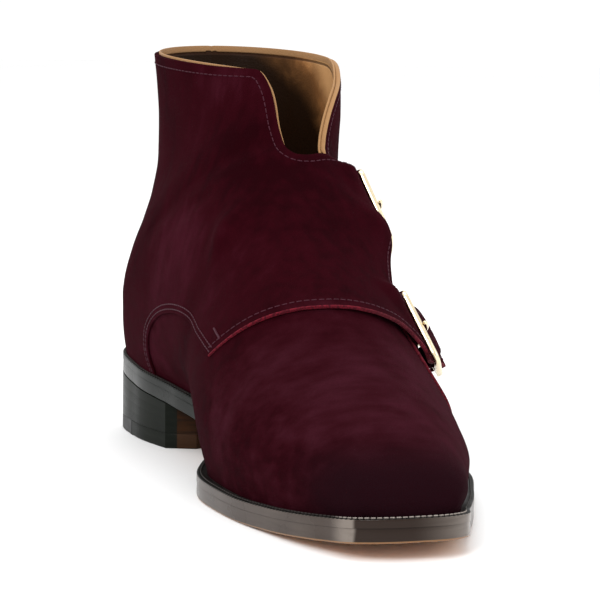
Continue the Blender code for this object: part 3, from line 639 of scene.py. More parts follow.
# A sheet's inner points, as shares of the pitch: rings at even steps that follow the edge, each kept where
# it stays clear of the edge, and past them a staggered grid.
RING_STEP = 0.87
RING_KEPT = 0.93
GRID_CLEAR = 0.7


def fill_places(ground, loop, pitch, rings):
    """Places inside an outline, about a pitch apart in space, with rings that follow its edge."""
    border = ground.point(loop)
    step_in = inward(ground, loop)
    spread = [np.empty((0, 2))]
    for ring in range(1, rings + 1):
        depth = ring * pitch * RING_STEP
        at = ground.moved(loop, step_in * depth)
        spread.append(at[nearest(ground.point(at), border) > depth * RING_KEPT])
    step = pitch / 2
    low, high = loop.min(axis=0), loop.max(axis=0)
    counts = np.ceil((high - low) / (step, pitch)).astype(int)
    rows, columns = np.indices(counts).reshape(2, -1)
    places = np.stack([low[0] + (rows + 0.5) * step, low[1] + (columns + 0.25) * pitch], axis=1)
    # Rows lie half a pitch apart in u. Where u is shorter in space, only each 2nd, 4th, 8th or 16th stays.
    stretch = np.maximum(np.linalg.norm(ground.partials(places)[0], axis=1), 1e-6)
    skip = np.clip(np.log2(pitch / (stretch * step)), 0, 4).astype(int)
    places[:, 1] += (rows >> skip & 1) * pitch / 2
    places = places[rows % 2**skip == 0]
    places = places[inside(loop, places)]
    clear = (rings * RING_STEP + GRID_CLEAR) * pitch
    spread.append(places[nearest(ground.point(places), border) > clear])
    return np.vstack(spread)


def triangulate(loop, places, holes=()):
    """Triangles over the places inside an outline, past its holes: all places, and corner indices."""
    loops = [loop, *holes]
    every = np.vstack([*loops, places])
    edges, start = [], 0
    for one in loops:
        count = len(one)
        edges += [(start + i, start + (i + 1) % count) for i in range(count)]
        start += count
    whole = [list(range(len(loop)))]
    corners, _, faces, origin, _, _ = delaunay_2d_cdt([Vector(p) for p in every], edges, whole, 1, 1e-5)
    back = np.array([ids[0] if ids else -1 for ids in origin])
    corners, faces = np.array([c[:] for c in corners]), np.array([f for f in faces if len(f) == 3])
    for hole in holes:
        faces = faces[~inside(hole, corners[faces].mean(axis=1))]
    order = np.full(len(every), -1)
    order[back[back >= 0]] = np.nonzero(back >= 0)[0]
    return corners, faces, order[:start]


def record(obj, name, values):
    """Keeps a number at each of a piece's points for its finish to read."""
    kept = obj.data.attributes.new(name, "FLOAT", "POINT")
    kept.data.foreach_set("value", np.asarray(values, np.float32))


def linked(name, data):
    """A new object in the scene."""
    made = bpy.data.objects.new(name, data)
    bpy.context.scene.collection.objects.link(made)
    return made


def make_object(name, points, faces, materials, indices=None, smooth_angle=40.0):
    """A piece from points on the last, with its faces turned outwards, smooth up to an angle."""
    mesh = bpy.data.meshes.new(name)
    mesh.from_pydata([tuple(p) for p in place(points)], [], [tuple(map(int, f)) for f in faces])
    for material in materials:
        mesh.materials.append(material)
    if indices is not None:
        mesh.polygons.foreach_set("material_index", np.asarray(indices, np.int32))
    work = bmesh.new()
    work.from_mesh(mesh)
    bmesh.ops.recalc_face_normals(work, faces=work.faces)
    work.to_mesh(mesh)
    work.free()
    mesh.shade_smooth()
    mesh.set_sharp_from_angle(angle=math.radians(smooth_angle))
    obj = linked(name, mesh)
    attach(obj, BODY)
    return obj


def bands(count, size, closed=False):
    """Quads between rings of points that follow each other."""
    faces = []
    for ring in range(count if closed else count - 1):
        low, high = ring * size, (ring + 1) % count * size
        for i in range(size):
            j = (i + 1) % size
            faces.append((low + i, low + j, high + j, high + i))
    return faces


def barrel(rings):
    """A body from rings of points, closed at both ends: points and faces."""
    size, count = len(rings[0]), len(rings)
    ends = [tuple(range(size)), tuple(range((count - 1) * size, count * size))]
    return np.vstack(rings), bands(count, size) + ends


def wreath(name, rings, materials, indices=None, smooth_angle=40.0):
    """A piece from rings of points, the last of which joins the first. indices gives each band's material."""
    size = len(rings[0])
    slots = np.repeat(indices or [0] * len(rings), size)
    return make_object(name, np.vstack(rings), bands(len(rings), size, True), materials, slots, smooth_angle)


def circle(count):
    """Points evenly round a circle of radius 1."""
    turns = np.arange(count) * 2 * math.pi / count
    return np.stack([np.cos(turns), np.sin(turns)], axis=1)


# Cross-section of a cut leather edge: share of the thickness, and how far it stands in.
CUT_EDGE = ((1.0, 0.30), (0.93, 0.10), (0.75, 0.0), (0.25, 0.0), (0.07, 0.08), (0.0, 0.25))
# The lower face's pitch over the upper one's, and how near a hole its inner points may lie.
COARSER = 3
HOLE_CLEAR = 0.6


def slab(
    name, ground, loop, low, high, materials, pitch=1.6, edge=CUT_EDGE, holes=(), rings=2, wall_slots=None
):
    """A sheet of leather with a fine upper face, a coarse lower face and a shaped edge. low and high
    give heights over the ground from places. Its points keep how far from the edge and how far up the
    thickness they are."""
    border = ground.point(loop)
    fine_places = fill_places(ground, loop, pitch, rings)
    coarse_places = fill_places(ground, loop, pitch * COARSER, 1)
    for hole in holes:
        clear = nearest(ground.point(fine_places), ground.point(hole)) > pitch * HOLE_CLEAR
        fine_places = fine_places[clear & ~inside(hole, fine_places)]
        coarse_places = coarse_places[~inside(hole, coarse_places)]
    points, distances, levels, faces, slots, rim_ids = [], [], [], [], [], []

    def add(where, away, share):
        """Takes in points and gives their numbers."""
        first = sum(map(len, points))
        points.append(where)
        distances.append(away)
        levels.append(np.full(len(where), float(share)))
        return first + np.arange(len(where))

    rims = [loop, *holes]
    sides = [inward(ground, rim) * (-1 if number else 1) for number, rim in enumerate(rims)]
    for places, height, share, slot in ((fine_places, high, 1, 0), (coarse_places, low, 0, 2)):
        corners, triangles, rim = triangulate(loop, places, holes)
        where = ground.over(corners, height(corners))
        where[rim] += np.vstack(sides) * edge[share - 1][1]
        ids = add(where, nearest(ground.point(corners), border), share)
        faces += ids[triangles].tolist()
        slots += [min(slot, len(materials) - 1)] * len(triangles)
        rim_ids.append(ids[rim])
    start = 0
    for rim, side in zip(rims, sides):
        bottom, top = low(rim), high(rim)
        rows = [rim_ids[0][start : start + len(rim)]]
        for share, stand in edge[1:-1]:
            where = ground.over(rim, bottom + (top - bottom) * share) + side * stand
            rows.append(add(where, np.zeros(len(rim)), share))
        rows.append(rim_ids[1][start : start + len(rim)])
        start += len(rim)
        whole_rim = wall_slots is not None and rim is loop
        for above, below in zip(rows, rows[1:]):
            faces += np.stack([above, np.roll(above, -1), np.roll(below, -1), below], axis=1).tolist()
            slots += list(wall_slots) if whole_rim else [min(1, len(materials) - 1)] * len(rim)
    made = make_object(name, np.vstack(points), faces, materials, slots)
    record(made, "to_edge", np.concatenate(distances))
    record(made, "level", np.concatenate(levels))
    return made


def level(height):
    """A height that is the same all over."""
    return lambda places: np.full(len(places), float(height))


# ---------------------------------------------------------------- finishes


class Field:
    """A value that varies over a surface: a shader socket whose sums and products add Math nodes."""

    def __init__(self, finish, socket):
        self.finish = finish
        self.socket = socket

    def maths(self, operation, *values):
        return self.finish.node("ShaderNodeMath", {"operation": operation}, values)

    def __add__(self, other):
        return self.maths("ADD", self, other)

    def __mul__(self, other):
        return self.maths("MULTIPLY", self, other)

    def __sub__(self, other):
        return self.maths("SUBTRACT", self, other)

    def __rsub__(self, other):
        return self.maths("SUBTRACT", other, self)

    __radd__, __rmul__ = __add__, __mul__


class Finish:
    """A material and the nodes that feed its shader."""

    def __init__(self, name, **constants):
        self.material = bpy.data.materials.new(name)
        self.material.use_nodes = True
        self.tree = self.material.node_tree
        self.shader = self.tree.nodes["Principled BSDF"]
        self.set(**constants)

    def set(self, **sockets):
        """Sets or links the shader's own sockets, named with _ for each space."""
        for name, value in sockets.items():
            self.feed(self.shader.inputs[name.replace("_", " ")], value)

    def feed(self, socket, value):
        if isinstance(value, Field):
            self.tree.links.new(value.socket, socket)
        elif isinstance(value, tuple) and len(value) == 3 and socket.type == "RGBA":
            socket.default_value = (*value, 1)
        else:
            socket.default_value = value

    def node(self, kind, settings=None, values=(), out=0):
        """Adds a node: its settings first, then values or links by socket."""
        node = self.tree.nodes.new(kind)
        for name, setting in (settings or {}).items():
            setattr(node, name, setting)
        pairs = values.items() if isinstance(values, dict) else enumerate(values)
        for name, value in pairs:
            self.feed(node.inputs[name], value)
        return Field(self, node.outputs[out])

    def where(self, stretch=(1, 1, 1)):
        """Places in the boot's own space, in metres, stretched to draw out a grain."""
        here = self.node("ShaderNodeTexCoord", out="Object")
        if stretch == (1, 1, 1):
            return here
        return self.node("ShaderNodeVectorMath", {"operation": "MULTIPLY"}, (here, stretch))

    def noise(self, size, detail=2, rough=0.5, stretch=(1, 1, 1), warp=0.0):
        """Soft noise from 0 to 1 whose patches are about size millimetres."""
        values = {
            "Vector": self.where(stretch), "Scale": 1 / (size * MM), "Detail": detail, "Roughness": rough,
            "Distortion": warp,
        }
        return self.node("ShaderNodeTexNoise", {"noise_dimensions": "3D"}, values)

    def cells(self, size):
        values = {"Vector": self.where(), "Scale": 1 / (size * MM)}
        return self.node("ShaderNodeTexVoronoi", {"feature": "F1"}, values)

    def ease(self, value, start, end, low=0.0, high=1.0):
        """A soft step from low to high as value goes from start to end."""
        settings = {"interpolation_type": "SMOOTHSTEP"}
        return self.node("ShaderNodeMapRange", settings, (value, start, end, low, high))

    def mix(self, share, first, second):
        settings = {"data_type": "RGBA", "blend_type": "MIX"}
        return self.node("ShaderNodeMix", settings, {0: share, 6: first, 7: second}, out=2)

    def tint(self, colour, other, value, *steps):
        """Blends another colour in by a share that is eased from value in the given steps."""
        return self.mix(self.ease(value, *steps), colour, other)

    def attribute(self, name):
        return self.node("ShaderNodeAttribute", {"attribute_name": name}, out="Fac")

    def axis(self, number):
        return self.node("ShaderNodeSeparateXYZ", None, (self.where(),), out=number)

    def beyond(self, middle, inner, outer):
        """0 within the inner distance of a point on the last, 1 past the outer one, in millimetres."""
        settings, point = {"operation": "DISTANCE"}, tuple(map(float, place(middle)))
        away = self.node("ShaderNodeVectorMath", settings, (self.where(), point), out=1)
        return self.ease(away, inner * MM, outer * MM)

    def bump(self, height, depth, under=None):
        """Bends the shading as if height, from 0 to 1, were depth millimetres deep."""
        values = {"Strength": 1.0, "Distance": depth * MM, "Height": height}
        if under is not None:
            values["Normal"] = under
        return self.node("ShaderNodeBump", None, values)

    def done(self, colour, wear, rough, relief, depth, under=None, **more):
        """Sets the colour, the roughness, from one value to another as wear rises, and the bumps of a
        relief, and gives the material."""
        roughness = self.ease(wear, 0.3, 0.7, *rough)
        self.set(Base_Color=colour, Roughness=roughness, Normal=self.bump(relief, depth, under), **more)
        return self.material


SUEDE_DARK = (0.0115, 0.0007, 0.0018)
SUEDE_MIDDLE = (0.0210, 0.0014, 0.0034)
SUEDE_LIGHT = (0.0370, 0.0048, 0.0098)
# Darker toe tone, greyed by painted sheen.
SUEDE_TOE = (0.0092, 0.0026, 0.0042)
# Painted sheen laid over the vamp.
SUEDE_VAMP_SHEEN = (0.0400, 0.0090, 0.0150)
RED_EDGE = (0.150, 0.004, 0.014)
# Darker red for fraying, and for painted shade over the instep.
RED_EDGE_DARK = (0.055, 0.002, 0.007)
TAN = (0.42, 0.185, 0.062)
TAN_DARK = (0.22, 0.095, 0.032)
# Pale tan for rubbed patches, and for painted light near the lining's openings.
TAN_PALE = (0.60, 0.33, 0.14)
# Painted shade deep inside the lining.
TAN_PAINTED_SHADE = (0.0120, 0.0050, 0.0020)
TAN_RIM = (0.30, 0.165, 0.075)
TAN_SEAM = (0.030, 0.012, 0.006)
# Pale, middle and dark.
SOCK_TAN = (TAN, (0.30, 0.130, 0.044), (0.20, 0.085, 0.030))
BACKING_RED = ((0.16, 0.040, 0.032), (0.10, 0.020, 0.018), (0.06, 0.010, 0.010))
THREAD = (0.056, 0.0095, 0.020)
THREAD_SHADE = (0.030, 0.0050, 0.0105)
WELT_THREAD = (0.33, 0.29, 0.26)
WELT_THREAD_SHADE = (0.20, 0.17, 0.15)
WELT_THREAD_DARK = (0.020, 0.016, 0.014)
# Dressed edge: grey-brown painted reflection round the forepart, painted highlights at the toe's corners,
# dark brown, and a tan painted reflection along the lower corner.
EDGE_REFLECTED_GREY = (0.050, 0.036, 0.029)
EDGE_REFLECTED_PALE = (0.080, 0.062, 0.051)
EDGE_HIGHLIGHT = (0.190, 0.160, 0.138)
EDGE_BROWN = (0.018, 0.0095, 0.0060)
EDGE_LIP_REFLECTION = (0.24, 0.125, 0.058)
EDGE_BLACK = (0.0045, 0.0048, 0.0042)
EDGE_BLACK_WORN = (0.012, 0.010, 0.009)
HEEL_BLACK = (0.0060, 0.0075, 0.0060)
HEEL_BLACK_WORN = (0.0100, 0.0115, 0.0090)
BREAST_BROWN = (0.030, 0.0110, 0.0034)
BREAST_DARK = (0.014, 0.0060, 0.0030)
BREAST_PALE = (0.042, 0.019, 0.009)
SOLE_TAN = (0.60, 0.295, 0.105)
SOLE_RED = (0.46, 0.175, 0.055)
SOLE_STAIN = (0.12, 0.035, 0.012)
RUBBER_GREY = (0.028, 0.028, 0.029)
RUBBER_DUST = (0.060, 0.057, 0.053)
PALE_GOLD = (0.86, 0.73, 0.50)
BRASS = (0.42, 0.27, 0.10)
FLOOR_WHITE = (0.93, 0.93, 0.93)
FLOOR_WHITER = (0.95, 0.95, 0.95)

# Where the nap shows lighter or darker: partly the nap's lie and partly painted highlights and painted shade,
# set where light and shadow fell.
NAP_AND_PAINTED_LIGHT = (
    # middle x, s, z on the last, inner and outer reach, lighter or darker
    ((-37.0, 108.0, 78.0), 6.0, 40.0, 1.05),
    ((-40.0, 84.0, 48.0), 4.0, 30.0, 0.55),
    ((-10.0, 256.0, 46.0), 6.0, 46.0, 0.60),
    ((-28.0, 226.0, 52.0), 6.0, 40.0, 0.45),
    ((30.0, 215.0, 38.0), 4.0, 36.0, 0.45),
    ((40.0, 90.0, 70.0), 6.0, 40.0, 0.60),
    ((6.0, 4.0, 80.0), 6.0, 38.0, 0.45),
    ((0.0, 152.0, 100.0), 4.0, 38.0, -0.55),
    ((-20.0, 118.0, 118.0), 4.0, 34.0, -0.55),
    ((38.0, 60.0, 120.0), 4.0, 34.0, -0.40),
)
NAP_AND_PAINTED_LIGHT_STRENGTH = 0.22


def suede_finish():
    """Short wine-red nap in random light and dark patches, with painted highlights, painted shade and painted
    sheen, and a darker toe.
    """
    suede = Finish("wine_suede", Sheen_Weight=0.018, Sheen_Roughness=0.45, Specular_IOR_Level=0.01)
    suede.set(Sheen_Tint=(0.60, 0.14, 0.24))
    broad = suede.noise(46, detail=3, warp=0.6)
    patches = suede.noise(13, warp=0.3)
    shaft = suede.ease(suede.axis(2), 0.050, 0.080)
    upright = suede.noise(4.5, stretch=(1.0, 1.0, 0.16))
    across = suede.noise(4.5, stretch=(0.22, 0.8, 1.0))
    strokes = upright * shaft + across * (1 - shaft)
    fibres = suede.noise(0.5, rough=0.7)
    lie = broad * 0.70 + patches * 0.20 + strokes * 0.42 - 0.66
    # Nap patches, partly painted highlights and painted shade placed where light and shadow fell.
    for middle, inner, outer, lighter in NAP_AND_PAINTED_LIGHT:
        lie = lie + (1 - suede.beyond(middle, inner, outer)) * (lighter * NAP_AND_PAINTED_LIGHT_STRENGTH)
    colour = suede.tint(SUEDE_DARK, SUEDE_MIDDLE, lie, -0.20, 0.07)
    colour = suede.tint(colour, SUEDE_LIGHT, lie, 0.03, 0.34)
    # Painted sheen: a greyer, lighter tone over the vamp, where the top light falls.
    vamp = suede.ease(suede.axis(1) + suede.axis(2) * 0.5, 0.010, -0.035, 0.0, 0.40)
    colour = suede.mix(vamp * suede.ease(lie, -0.10, 0.20), colour, SUEDE_VAMP_SHEEN)
    # The toe goes darker, and greyer with painted sheen.
    toe = suede.ease(suede.axis(1) + (broad - 0.5) * 0.030, -0.143, -0.102, 0.95, 0.0)
    colour = suede.mix(toe * suede.ease(suede.axis(2), 0.044, 0.025), colour, SUEDE_TOE)
    colour = suede.tint(colour, SUEDE_DARK, fibres, 0.35, 0.7, 0.0, 0.30)
    relief, pile = patches * 0.6 + strokes * 0.4, suede.bump(fibres, 0.22)
    return suede.done(colour, strokes, (0.86, 0.97), relief, 0.22, under=pile)


def cut_edge_finish():
    """The raw red side of a cut suede edge, with painted shade over the instep."""
    edge = Finish("raw_red_edge", Specular_IOR_Level=0.2)
    fray = edge.noise(0.8)
    colour = edge.tint(RED_EDGE, RED_EDGE_DARK, fray, 0.35, 0.65)
    # Painted shade: the edge darkens where it runs over the instep.
    instep_shade = edge.ease(edge.axis(0), 0.000, 0.014) * edge.ease(edge.axis(0), 0.036, 0.028)
    colour = edge.mix(instep_shade * 0.6, colour, RED_EDGE_DARK)
    return edge.done(colour, fray, (0.7, 0.95), fray, 0.15)


def rubbed(leather, size, pale, middle, dark):
    """Soft patches about size millimetres wide, and the colour that they give glove leather."""
    cloud = leather.noise(size, detail=4, warp=0.5)
    colour = leather.tint(dark, middle, cloud, 0.38, 0.66)
    return cloud, leather.tint(colour, pale, cloud, 0.56, 0.80, 0.0, 0.5)


def lining_finish():
    """Smooth glove leather, rubbed in soft patches, sewn round its edge, with painted shade deep inside and
    painted light near its openings.
    """
    leather = Finish("tan_lining", Specular_IOR_Level=0.05)
    cloud, colour = rubbed(leather, 16, TAN_PALE, TAN, TAN_DARK)
    # Painted shade deep inside and towards the back, where little light reaches.
    reach = leather.axis(2) - leather.axis(1) * 0.8 + (cloud - 0.5) * 0.010
    colour = leather.tint(TAN_PAINTED_SHADE, colour, reach, 0.041, 0.069)
    # Painted light near the openings, where light reaches in.
    colour = leather.tint(colour, TAN_PALE, reach, 0.058, 0.074, 0.0, 0.9)
    rim = leather.attribute("to_rim")
    seam = leather.ease(rim, 1.9, 2.4) * leather.ease(rim, 3.4, 2.8)
    colour = leather.mix(seam * 0.75, colour, TAN_SEAM)
    colour = leather.tint(colour, TAN_RIM, rim, 2.1, 1.6, 0.0, 0.9)
    relief = leather.cells(0.9) * 0.3 + (1 - seam) * 0.7
    return leather.done(colour, cloud, (0.58, 0.42), relief, 0.25)


def glove_finish(name, colours):
    """Smooth glove leather with a fine grain and softly rubbed patches."""
    leather = Finish(name, Specular_IOR_Level=0.30)
    cloud, colour = rubbed(leather, 14, *colours)
    return leather.done(colour, cloud, (0.60, 0.45), leather.cells(0.9), 0.08)


def thread_finish(name, pale, shade, further_back=None):
    """Twisted waxed thread, which may be pale across the toe and dark further back."""
    thread = Finish(name, Specular_IOR_Level=0.15)
    twist = thread.noise(0.35, detail=1)
    colour = thread.tint(pale, shade, twist, 0.3, 0.7)
    if further_back:
        colour = thread.tint(colour, further_back, thread.axis(1), -0.143, -0.135)
    return thread.done(colour, twist, (0.5, 0.7), twist, 0.08)


def dressed_edge_finish():
    """The sole's edge in polished wax dressing, dark brown, and black from the waist back: painted reflection
    makes it grey-brown round the forepart, painted highlights brighten the toe's corners, painted shade keeps
    the toe's front brown, and a painted reflection runs tan along its lower corner."""
    edge = Finish("dressed_edge", Coat_Roughness=0.15, Specular_IOR_Level=0.10)
    cloud = edge.noise(17, detail=3)
    lines = edge.noise(1.5, stretch=(0.05, 0.05, 1.0))
    along = edge.axis(1)
    # Painted reflection: the dark brown edge is laid grey-brown round the forepart.
    colour = edge.tint(EDGE_REFLECTED_GREY, EDGE_REFLECTED_PALE, cloud, 0.35, 0.7, 0.0, 0.6)
    # Painted highlights near the toe's corners.
    colour = edge.tint(colour, EDGE_HIGHLIGHT, along, -0.136, -0.1445, 0.0, 0.9)
    # Painted shade: the toe's front face stays dark brown, without the painted reflection.
    toe = edge.ease(along, -0.1462, -0.1474) * edge.ease(edge.axis(0), 0.010, -0.018, 0.12, 1.0)
    colour = edge.mix(toe, colour, EDGE_BROWN)
    colour = edge.tint(colour, EDGE_BROWN, lines, 0.45, 0.75, 0.0, 0.22)
    rear = edge.ease(along + (cloud - 0.5) * 0.01, -0.030, 0.000)
    colour = edge.mix(rear, colour, HEEL_BLACK)
    # Painted reflection: a tan line along the edge's lower corner.
    lip_reflection = edge.ease(edge.attribute("level"), 0.86, 0.91, 0.0, 0.9) * (1 - rear)
    colour = edge.mix(lip_reflection, colour, EDGE_LIP_REFLECTION)
    coat = edge.ease(rear, 0.0, 0.8, 0.14, 0.0)
    return edge.done(colour, cloud, (0.26, 0.34), lines * 0.3 + cloud * 0.7, 0.03, Coat_Weight=coat)


def welt_top_finish():
    """The welt's upper side, black."""
    welt = Finish("black_welt_top", Specular_IOR_Level=0.12)
    cloud = welt.noise(9, detail=3)
    colour = welt.tint(EDGE_BLACK, EDGE_BLACK_WORN, cloud, 0.35, 0.7)
    return welt.done(colour, cloud, (0.30, 0.45), cloud, 0.05)


def heel_finish():
    """Blackened stacked leather, waxed to a soft gloss."""
    heel = Finish("blackened_heel", Coat_Roughness=0.12, Specular_IOR_Level=0.012)
    cloud = heel.noise(24)
    lines = heel.noise(2.0, detail=1, stretch=(0.03, 0.03, 1.0))
    colour = heel.tint(HEEL_BLACK, HEEL_BLACK_WORN, cloud, 0.35, 0.7)
    coat = heel.ease(cloud, 0.3, 0.7, 0.06, 0.03)
    return heel.done(colour, cloud, (0.24, 0.32), lines * 0.05 + cloud * 0.95, 0.02, Coat_Weight=coat)


def breast_finish():
    """The heel's breast: dark brown layered leather, less dressed than its sides and paler at its foot."""
    breast = Finish("heel_breast", Specular_IOR_Level=0.06)
    cloud = breast.noise(7, detail=3)
    lines = breast.noise(2.2, stretch=(0.06, 0.3, 1.0))
    colour = breast.tint(BREAST_BROWN, BREAST_DARK, lines, 0.35, 0.7)
    colour = breast.tint(colour, BREAST_PALE, cloud, 0.5, 0.8, 0.0, 0.4)
    colour = breast.tint(colour, BREAST_PALE, breast.axis(2), 0.0068, 0.0058, 0.0, 0.7)
    return breast.done(colour, cloud, (0.45, 0.6), lines, 0.05)


def sole_finish():
    """Natural tan sole leather: clouded, lightly speckled, dark at its border, and stained dark where the
    waist meets the heel."""
    sole = Finish("natural_sole_leather", Coat_Roughness=0.25, Specular_IOR_Level=0.4)
    cloud = sole.noise(26, detail=4, warp=0.5)
    speck = sole.noise(1.4)
    colour = sole.tint(SOLE_TAN, SOLE_RED, cloud, 0.35, 0.68)
    colour = sole.tint(colour, SOLE_RED, speck, 0.55, 0.75, 0.0, 0.30)
    stain = sole.ease(sole.axis(1) + (cloud - 0.5) * 0.03, 0.030, 0.078, 0.0, 0.85)
    colour = sole.mix(stain, colour, SOLE_STAIN)
    border = sole.attribute("to_edge") + (cloud - 0.5) * 1.5
    colour = sole.tint(colour, SOLE_STAIN, border, 0.6, 2.4, 0.85, 0.0)
    coat = sole.ease(stain, 0.0, 0.8, 0.1, 0.4)
    return sole.done(colour, cloud, (0.38, 0.55), speck * 0.3 + cloud * 0.7, 0.12, Coat_Weight=coat)


def rubber_finish():
    """Grey heel rubber with a little dust."""
    rubber = Finish("heel_rubber", Specular_IOR_Level=0.35)
    dust = rubber.noise(6, detail=4)
    colour = rubber.tint(RUBBER_GREY, RUBBER_DUST, dust, 0.4, 0.7)
    return rubber.done(colour, dust, (0.55, 0.8), rubber.noise(0.5, detail=1), 0.05)


def metal_finish(name, colour, rough):
    """Polished plate with the faintest hairlines and handling marks."""
    metal = Finish(name, Metallic=1.0)
    hairs = metal.noise(0.5, stretch=(1.0, 1.0, 0.08))
    smear = metal.noise(5, detail=3)
    dull = tuple(0.8 * part for part in colour)
    plate = metal.tint(colour, dull, smear, 0.4, 0.75, 0.0, 0.35)
    return metal.done(plate, smear * 0.6 + hairs * 0.4, (rough, rough + 0.14), hairs, 0.01)


SUEDE = suede_finish()
RAW_EDGE = cut_edge_finish()
LINING = lining_finish()
SOCK = glove_finish("tan_sock", SOCK_TAN)
SUEDE_BACK = glove_finish("flap_backing", BACKING_RED)
STITCHING = thread_finish("mauve_thread", THREAD, THREAD_SHADE)
WELT_STITCHING = thread_finish("pale_welt_thread", WELT_THREAD, WELT_THREAD_SHADE, WELT_THREAD_DARK)
DRESSED_EDGE = dressed_edge_finish()
WELT_TOP = welt_top_finish()
HEEL_SIDE = heel_finish()
HEEL_BREAST = breast_finish()
SOLE_FACE = sole_finish()
RUBBER = rubber_finish()
GOLD = metal_finish("pale_gold_plate", PALE_GOLD, 0.13)
NAIL = metal_finish("brass_nail", BRASS, 0.35)


# ---------------------------------------------------------------- leather panels of the upper

# Heights over the last's outer face: inner and outer side of each layer.
VAMP_LOW, VAMP_HIGH = -1.3, -0.4
QUARTER_DEEP, QUARTER_LOW, QUARTER_HIGH = -1.25, -0.4, 0.6
LINING_OUT, LINING_IN = -1.3, -2.2
FLAP_LEATHER = 1.5
TAB_LOW, TAB_HIGH = 0.65, 2.15
SINK = 1.5

# Lines on the upper, as section t and girth.
V_EDGE = (
    (24.98, -0.185), (24.82, -0.128), (24.30, -0.114), (23.0, -0.098), (21.53, -0.079),
    (19.23, -0.046), (17.3, -0.027), (16.3, -0.014), (15.86, 0.008), (15.84, 0.045), (16.19, 0.102),
    (16.42, 0.160), (16.36, 0.205), (16.20, 0.235),
)
FREE_EDGE = ((13.50, 0.345), (13.1, 0.322), (12.6, 0.303), (12.1, 0.290), (11.75, 0.284), (11.56, 0.294))
FRONT_EDGE = (
    (10.72, 0.345), (10.42, 0.265), (10.06, 0.190), (9.79, 0.105), (9.69, -0.008), (9.83, -0.120),
    (10.13, -0.244), (10.51, -0.355), (10.99, -0.462),
)
HOOK = (
    (10.99, -0.462), (12.08, -0.507), (12.96, -0.551), (13.90, -0.623), (14.55, -0.680),
    (14.89, -0.762), (14.84, -0.852), (14.76, -0.930), (14.74, -1.0),
)
OUTER_FRONT = (
    (10.35, 0.550), (10.12, 0.500), (9.98, 0.442), (10.25, 0.390), (11.2, 0.295), (12.9, 0.165),
    (14.8, 0.122), (16.5, 0.145), (18.5, 0.172), (20.51, 0.208), (22.6, 0.290), (24.0, 0.395),
    (24.72, 0.470), (24.96, 0.540),
)
OUTER_HOOK = (
    (15.4, 1.0), (15.38, 0.92), (15.2, 0.84), (14.3, 0.75), (13.2, 0.69), (12.2, 0.650), (11.2, 0.605),
    (10.35, 0.550),
)
VAMP_REAR = (
    (16.8, 1.0), (16.6, 0.84), (15.6, 0.70), (14.2, 0.60), (13.0, 0.50), (12.4, 0.35), (12.2, 0.20),
    (12.2, 0.0), (12.5, -0.20), (13.2, -0.36), (14.4, -0.50), (15.6, -0.60), (16.2, -0.74),
    (16.1, -0.86), (16.1, -1.0),
)
BAR_TACK = ((11.33, -0.405), (10.85, -0.394))
COLLAR = FINE_T[-1]
# Where the collar ends at the throat on the inner and on the outer side.
COLLAR_ENDS = (-0.26, 0.60)
# Half of a strap's outline with its rounded tip; the other half mirrors it.
HALF_TIP = (
    # back from the front bar, up from the strap's middle
    (0.0, 11.5), (6.0, 11.5), (12.0, 11.5), (17.5, 11.4), (22.0, 9.9), (25.4, 6.2),
)
TIP = (*HALF_TIP, (26.8, 0.0), *((back, -aside) for back, aside in HALF_TIP[::-1]))
HOLE_BACKS = (8.6, 21.0)
HOLE_RADIUS = 1.45

UNDER_BAR = -BUCKLE_THICKNESS / 2 - 0.15 - FLAP_LEATHER
OVER_BAR = BUCKLE_THICKNESS / 2 + 0.3
# Height of a strap's inner face over its buckle's plane: it dips under the front bar, passes over the
# pin bar, and the lower strap's stiff end stands off.
STRAP_RISE = {
    # back from the front bar, height
    "lower": ((0.0, UNDER_BAR), (2.6, UNDER_BAR), (PIN_BAR_BACK - 2.8, OVER_BAR + 0.8), (STRAP_END, 5.0)),
    "upper": ((0.0, UNDER_BAR), (2.6, UNDER_BAR), (PIN_BAR_BACK - 2.8, OVER_BAR), (STRAP_END, -0.9)),
}
# The flap rises to its straps between these distances back and aside, and between these girths.
STRAP_BACK, STRAP_ASIDE, STRAP_GIRTH = (-10, 0), (12.5, 19), (0.12, 0.22)
# Least height of the straps, and least share of the flap's outward direction that points at a buckle.
LEAST_LIFT, LEAST_FACING = 0.8, 0.35
# The lower strap's end is twisted: its lower side lies close, its upper side stands off.
TWIST = 2.3
TWIST_BACK, TWIST_ASIDE = (16.3, 21.5), (1, 11.5)
# The flap puckers up ahead of the upper buckle, below its middle.
PUCKER = 3.7
PUCKER_AT = (-9.0, -12.0)
PUCKER_SPREAD = (5.5, 9.5)
# The flap's free edge stands off between the straps.
FREE_BULGE = 2.4
FREE_BULGE_AT = 12.7
FREE_BULGE_SPAN = 1.3
FREE_BULGE_GIRTH = (0.06, 0.27)
# Height of the wrapping flap's inner face over the last, by girth, and the sections over which it thins
# out to a plain quarter.
WRAP = (
    (-1.0, QUARTER_LOW), (-0.5, QUARTER_LOW), (-0.25, -0.15), (0.0, 0.15), (0.12, 0.8), (0.22, 1.2),
    (0.32, 1.5), (1.0, 1.5),
)
WRAP_END = (15.9, 17.2)
WRAP_GIRTH = (-0.45, -0.2)
VAMP_UNDER_QUARTER = (16.9, 17.8)


def strap_run(name, places):
    """Places on a strap, given back from its front bar and up from its middle."""
    return spots([on_strap(STRAPS[name], back, aside) for back, aside in places])


def foot_run(first, last, side, past=SINK, count=24):
    """The upper's foot or back seam from one section to another, run on past the foot into the welt."""
    t = np.linspace(first, last, count)
    deeper = past * np.clip((SEAT_REAR + 0.5 - t) / 0.5, 0, 1)
    return np.stack([back_at(t), side * (half_girth(t, side) + deeper)], axis=1)


def collar_run(first, last):
    """Along the collar from one girth to another."""
    return spots([(COLLAR, girth) for girth in np.linspace(first, last, 16)])


def ease(value, start, end):
    share = np.clip((value - start) / (end - start), 0, 1)
    return share * share * (3 - 2 * share)


